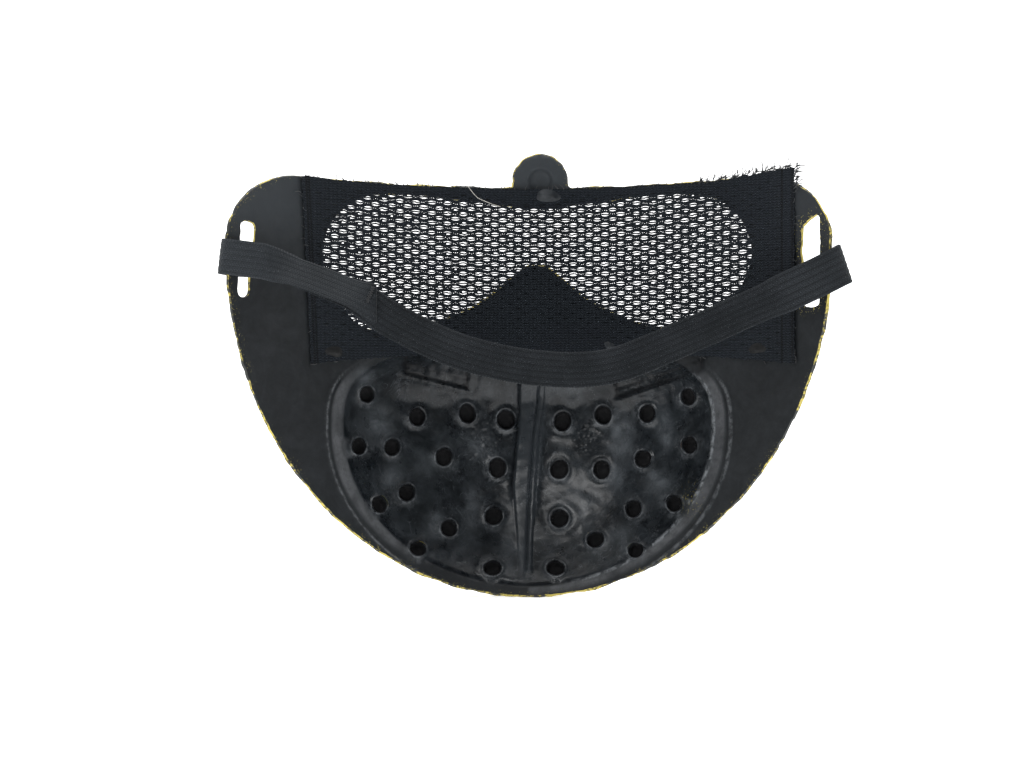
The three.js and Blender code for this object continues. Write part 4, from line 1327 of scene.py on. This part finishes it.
def on_panel(x, z, lift=0.0):
    x, z = np.asarray(x, dtype=float), np.asarray(z, dtype=float)
    base = np.stack([x, panel_surface(x, z), z], axis=1)
    return base + normals_of(panel_surface, x, z) * (PANEL_GAP + PANEL_THICK + lift)


def make_stray_thread():
    plan = spline([(23.5, 30.2), (21.8, 27.6), (19.2, 24.6), (16.6, 23.2), (13.4, 21.9), (10.3, 21.0)], 8)
    points = on_panel(plan[:, 0], plan[:, 1], 0.25)
    points[:, 1] += 0.5 * np.sin(np.linspace(0, math.pi * 2.2, len(points))) ** 2
    verts, faces = tube(points, 0.13)
    piece = add_mesh("stray_thread", verts, faces, [pale_thread])
    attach(piece, "mask")


def make_fraying():
    """Short cut ends of thread along the mesh panel's edges, thickest at its upper right corner."""
    draw = np.random.default_rng(91)
    tubes = []
    outline = closed(panel_outline(), 1.3)
    places = []
    for x, z in outline:
        top = z > PANEL_TOP - 6
        corner = top and x < -62
        chance = 5 if corner else 0.42 if top else 0.16
        place = (x + draw.uniform(-0.8, 0.8), z, corner)
        places += [place] * (int(chance) + int(draw.uniform() < chance % 1))
    for x, z, corner in places:
        middle = np.array([(PANEL_LEFT + PANEL_RIGHT) / 2 * 0.4 + 0.6 * x, (PANEL_TOP + PANEL_BOTTOM) / 2])
        out = np.array([x, z]) - middle
        out /= np.linalg.norm(out)
        length = draw.uniform(0.9, 3.4 if corner else 1.8)
        bend = draw.uniform(-1.1, 1.1)
        t = np.linspace(-0.4, 1, 6)[:, None]
        side = np.array([-out[1], out[0]])
        plan = np.array([x, z]) + out * t * length + side * bend * t ** 2 * length
        points = on_panel(plan[:, 0], plan[:, 1], -0.1)
        points[:, 1] += draw.uniform(-0.2, 0.5) * t[:, 0].clip(0, 1)
        tubes.append(tube(points, 0.14, 4))
    verts, faces = join_tubes(tubes)
    piece = add_mesh("frayed_threads", verts, faces, [dark_thread])
    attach(piece, "mask")


def make_glue(node, seed, swell, material):
    """A dab of glue that has set in soft lobes, in the room that its CAD bead holds."""
    low, high = box_mm(node)
    centre = (low + high) / 2
    half_x, half_z = (high[0] - low[0]) / 2, (high[2] - low[2]) / 2
    draw = np.random.default_rng(seed)
    lobes = [(draw.uniform(-0.5, 0.5), draw.uniform(-0.4, 0.4), draw.uniform(0.5, 0.8)) for _ in range(4)]
    rings, around = 9, 28
    back, front = [], []
    for i in range(rings):
        r = i / (rings - 1)
        for k in range(around if i else 1):
            a = 2 * math.pi * k / around
            edge = 1 + 0.14 * math.sin(2 * a + seed) + 0.1 * math.sin(3 * a + 2 * seed)
            u, w = r * math.cos(a) * edge, r * math.sin(a) * edge
            x, z = centre[0] + u * half_x, centre[2] + w * half_z
            height = 0
            for lx, lz, size in lobes:
                height += math.exp(-(((u - lx) ** 2 + (w - lz) ** 2) / (size * 0.5) ** 2))
            lift = swell * (0.35 + 0.45 * min(1.3, height)) * (1 - r ** 3)
            base = on_panel([x], [z], -0.05)[0]
            n = normals_of(panel_surface, np.array([x]), np.array([z]))[0]
            front.append(base + n * lift)
            back.append(base - n * 0.12)
    points = np.vstack([front, back])
    total = len(front)

    def index(ring, k):
        return 0 if ring == 0 else 1 + (ring - 1) * around + k % around

    faces = []
    for i in range(rings - 1):
        for k in range(around):
            a, b, c, d = index(i, k), index(i + 1, k), index(i + 1, k + 1), index(i, k + 1)
            loop = (a, b, c) if i == 0 else (a, b, c, d)
            faces.append(loop[::-1])
            faces.append(tuple(total + j for j in loop))
    for k in range(around):
        a, b = index(rings - 1, k), index(rings - 1, k + 1)
        faces.append((a, b, total + b, total + a)[::-1])
    piece = add_mesh(node.replace("glue_bead", "glue"), points, faces, [material], smooth_angle=60)
    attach(piece, "mask")
    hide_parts(node)


# ---------- making the pieces ----------

make_shell()
make_eye_mesh()

elastic = elastic_material("strap_elastic", (0.038, 0.0435, 0.05))
dark_thread = thread_material("dark_thread", (0.008, 0.01, 0.013))
pale_thread = thread_material("pale_thread", (0.62, 0.6, 0.55))
clear_glue = glue_material("glue_clear", 0.006, 0.04)
sooty_glue = glue_material("glue_sooty", 0.001, 0.004)

for strap_side in (1, -1):
    half_strap = make_half_strap(strap_side)
    blend_with_strap(half_strap)
    side_name = "left" if strap_side > 0 else "right"
    replaced = [f"strap_loop_{side_name}", f"strap_tail_{side_name}"]
    if strap_side > 0:
        replaced.append("strap_run")
    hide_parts(*replaced)
    make_bar_tack(strap_side)

make_stray_thread()
make_fraying()
make_glue("glue_bead_brow", 5, 0.9, clear_glue)
make_glue("glue_bead_nose", 6, 0.8, clear_glue)
make_glue("glue_bead_left", 7, 0.45, sooty_glue)
make_glue("glue_bead_right", 8, 0.45, sooty_glue)

# ---------- studio ----------

# Sizes in metres. The floor starts to curve up beyond the place of any view's camera.
BACKDROP_NEAR = 1.5
BACKDROP_CURVE = 1.2
BACKDROP_HALF_WIDTH = 8.0
BACKDROP_HEIGHT = 6.0


def make_backdrop():
    """A pale floor under the mask that curves up into a backdrop beyond its outer side."""
    n = Nodes("pale_backdrop")
    tone = n.noise(3, 2)
    colour = n.mix(tone, (0.9, 0.9, 0.9), (0.94, 0.94, 0.94))
    glow = {"emission_color": (1, 1, 1, 1), "emission_strength": 0.5}
    material = n.finish(colour, 0.9, specular_ior_level=0.1, **glow)
    floor = shell_low[2] * MM - 0.0008
    profile = [(BACKDROP_HALF_WIDTH, floor), (-BACKDROP_NEAR, floor)]
    for a in np.radians(np.linspace(0, 90, 16)):
        y = -BACKDROP_NEAR - BACKDROP_CURVE * math.sin(a)
        profile.append((y, floor + BACKDROP_CURVE * (1 - math.cos(a))))
    profile.append((-BACKDROP_NEAR - BACKDROP_CURVE, floor + BACKDROP_HEIGHT))
    points, faces = [], []
    for x in (-BACKDROP_HALF_WIDTH, BACKDROP_HALF_WIDTH):
        points += [(x / MM, y / MM, z / MM) for y, z in profile]
    m = len(profile)
    for i in range(m - 1):
        faces.append((i, i + 1, m + i + 1, m + i))
    backdrop = add_mesh("backdrop", points, faces, [material], smooth_angle=60)


def add_light(name, location, target, size, power):
    """A soft rectangular light that faces its target, in metres and watts."""
    data = bpy.data.lights.new(name, "AREA")
    data.shape = "RECTANGLE"
    data.size, data.size_y = size
    data.energy = power
    light = bpy.data.objects.new(name, data)
    light.location = location
    light.rotation_euler = (Vector(target) - Vector(location)).to_track_quat("-Z", "Y").to_euler()
    bpy.context.scene.collection.objects.link(light)


make_backdrop()
middle = (0, 0, -0.04)
add_light("key", (0.35, 0.9, 1.25), middle, (0.9, 0.5), 9)
add_light("side_left", (1.2, 0.12, 0.3), middle, (0.35, 1.1), 2.2)
add_light("side_right", (-1.2, 0.12, 0.3), middle, (0.35, 1.1), 3.4)
add_light("backdrop_light", (0, -0.5, 3.32), (0, -2.2, -0.08), (4.8, 1.0), 176)

world = bpy.data.worlds.new("studio")
bpy.context.scene.world = world
world.use_nodes = True
world.node_tree.nodes["Background"].inputs["Color"].default_value = (0.96, 0.98, 1.0, 1)
world.node_tree.nodes["Background"].inputs["Strength"].default_value = 0.15
bpy.context.scene.view_settings.view_transform = "Standard"
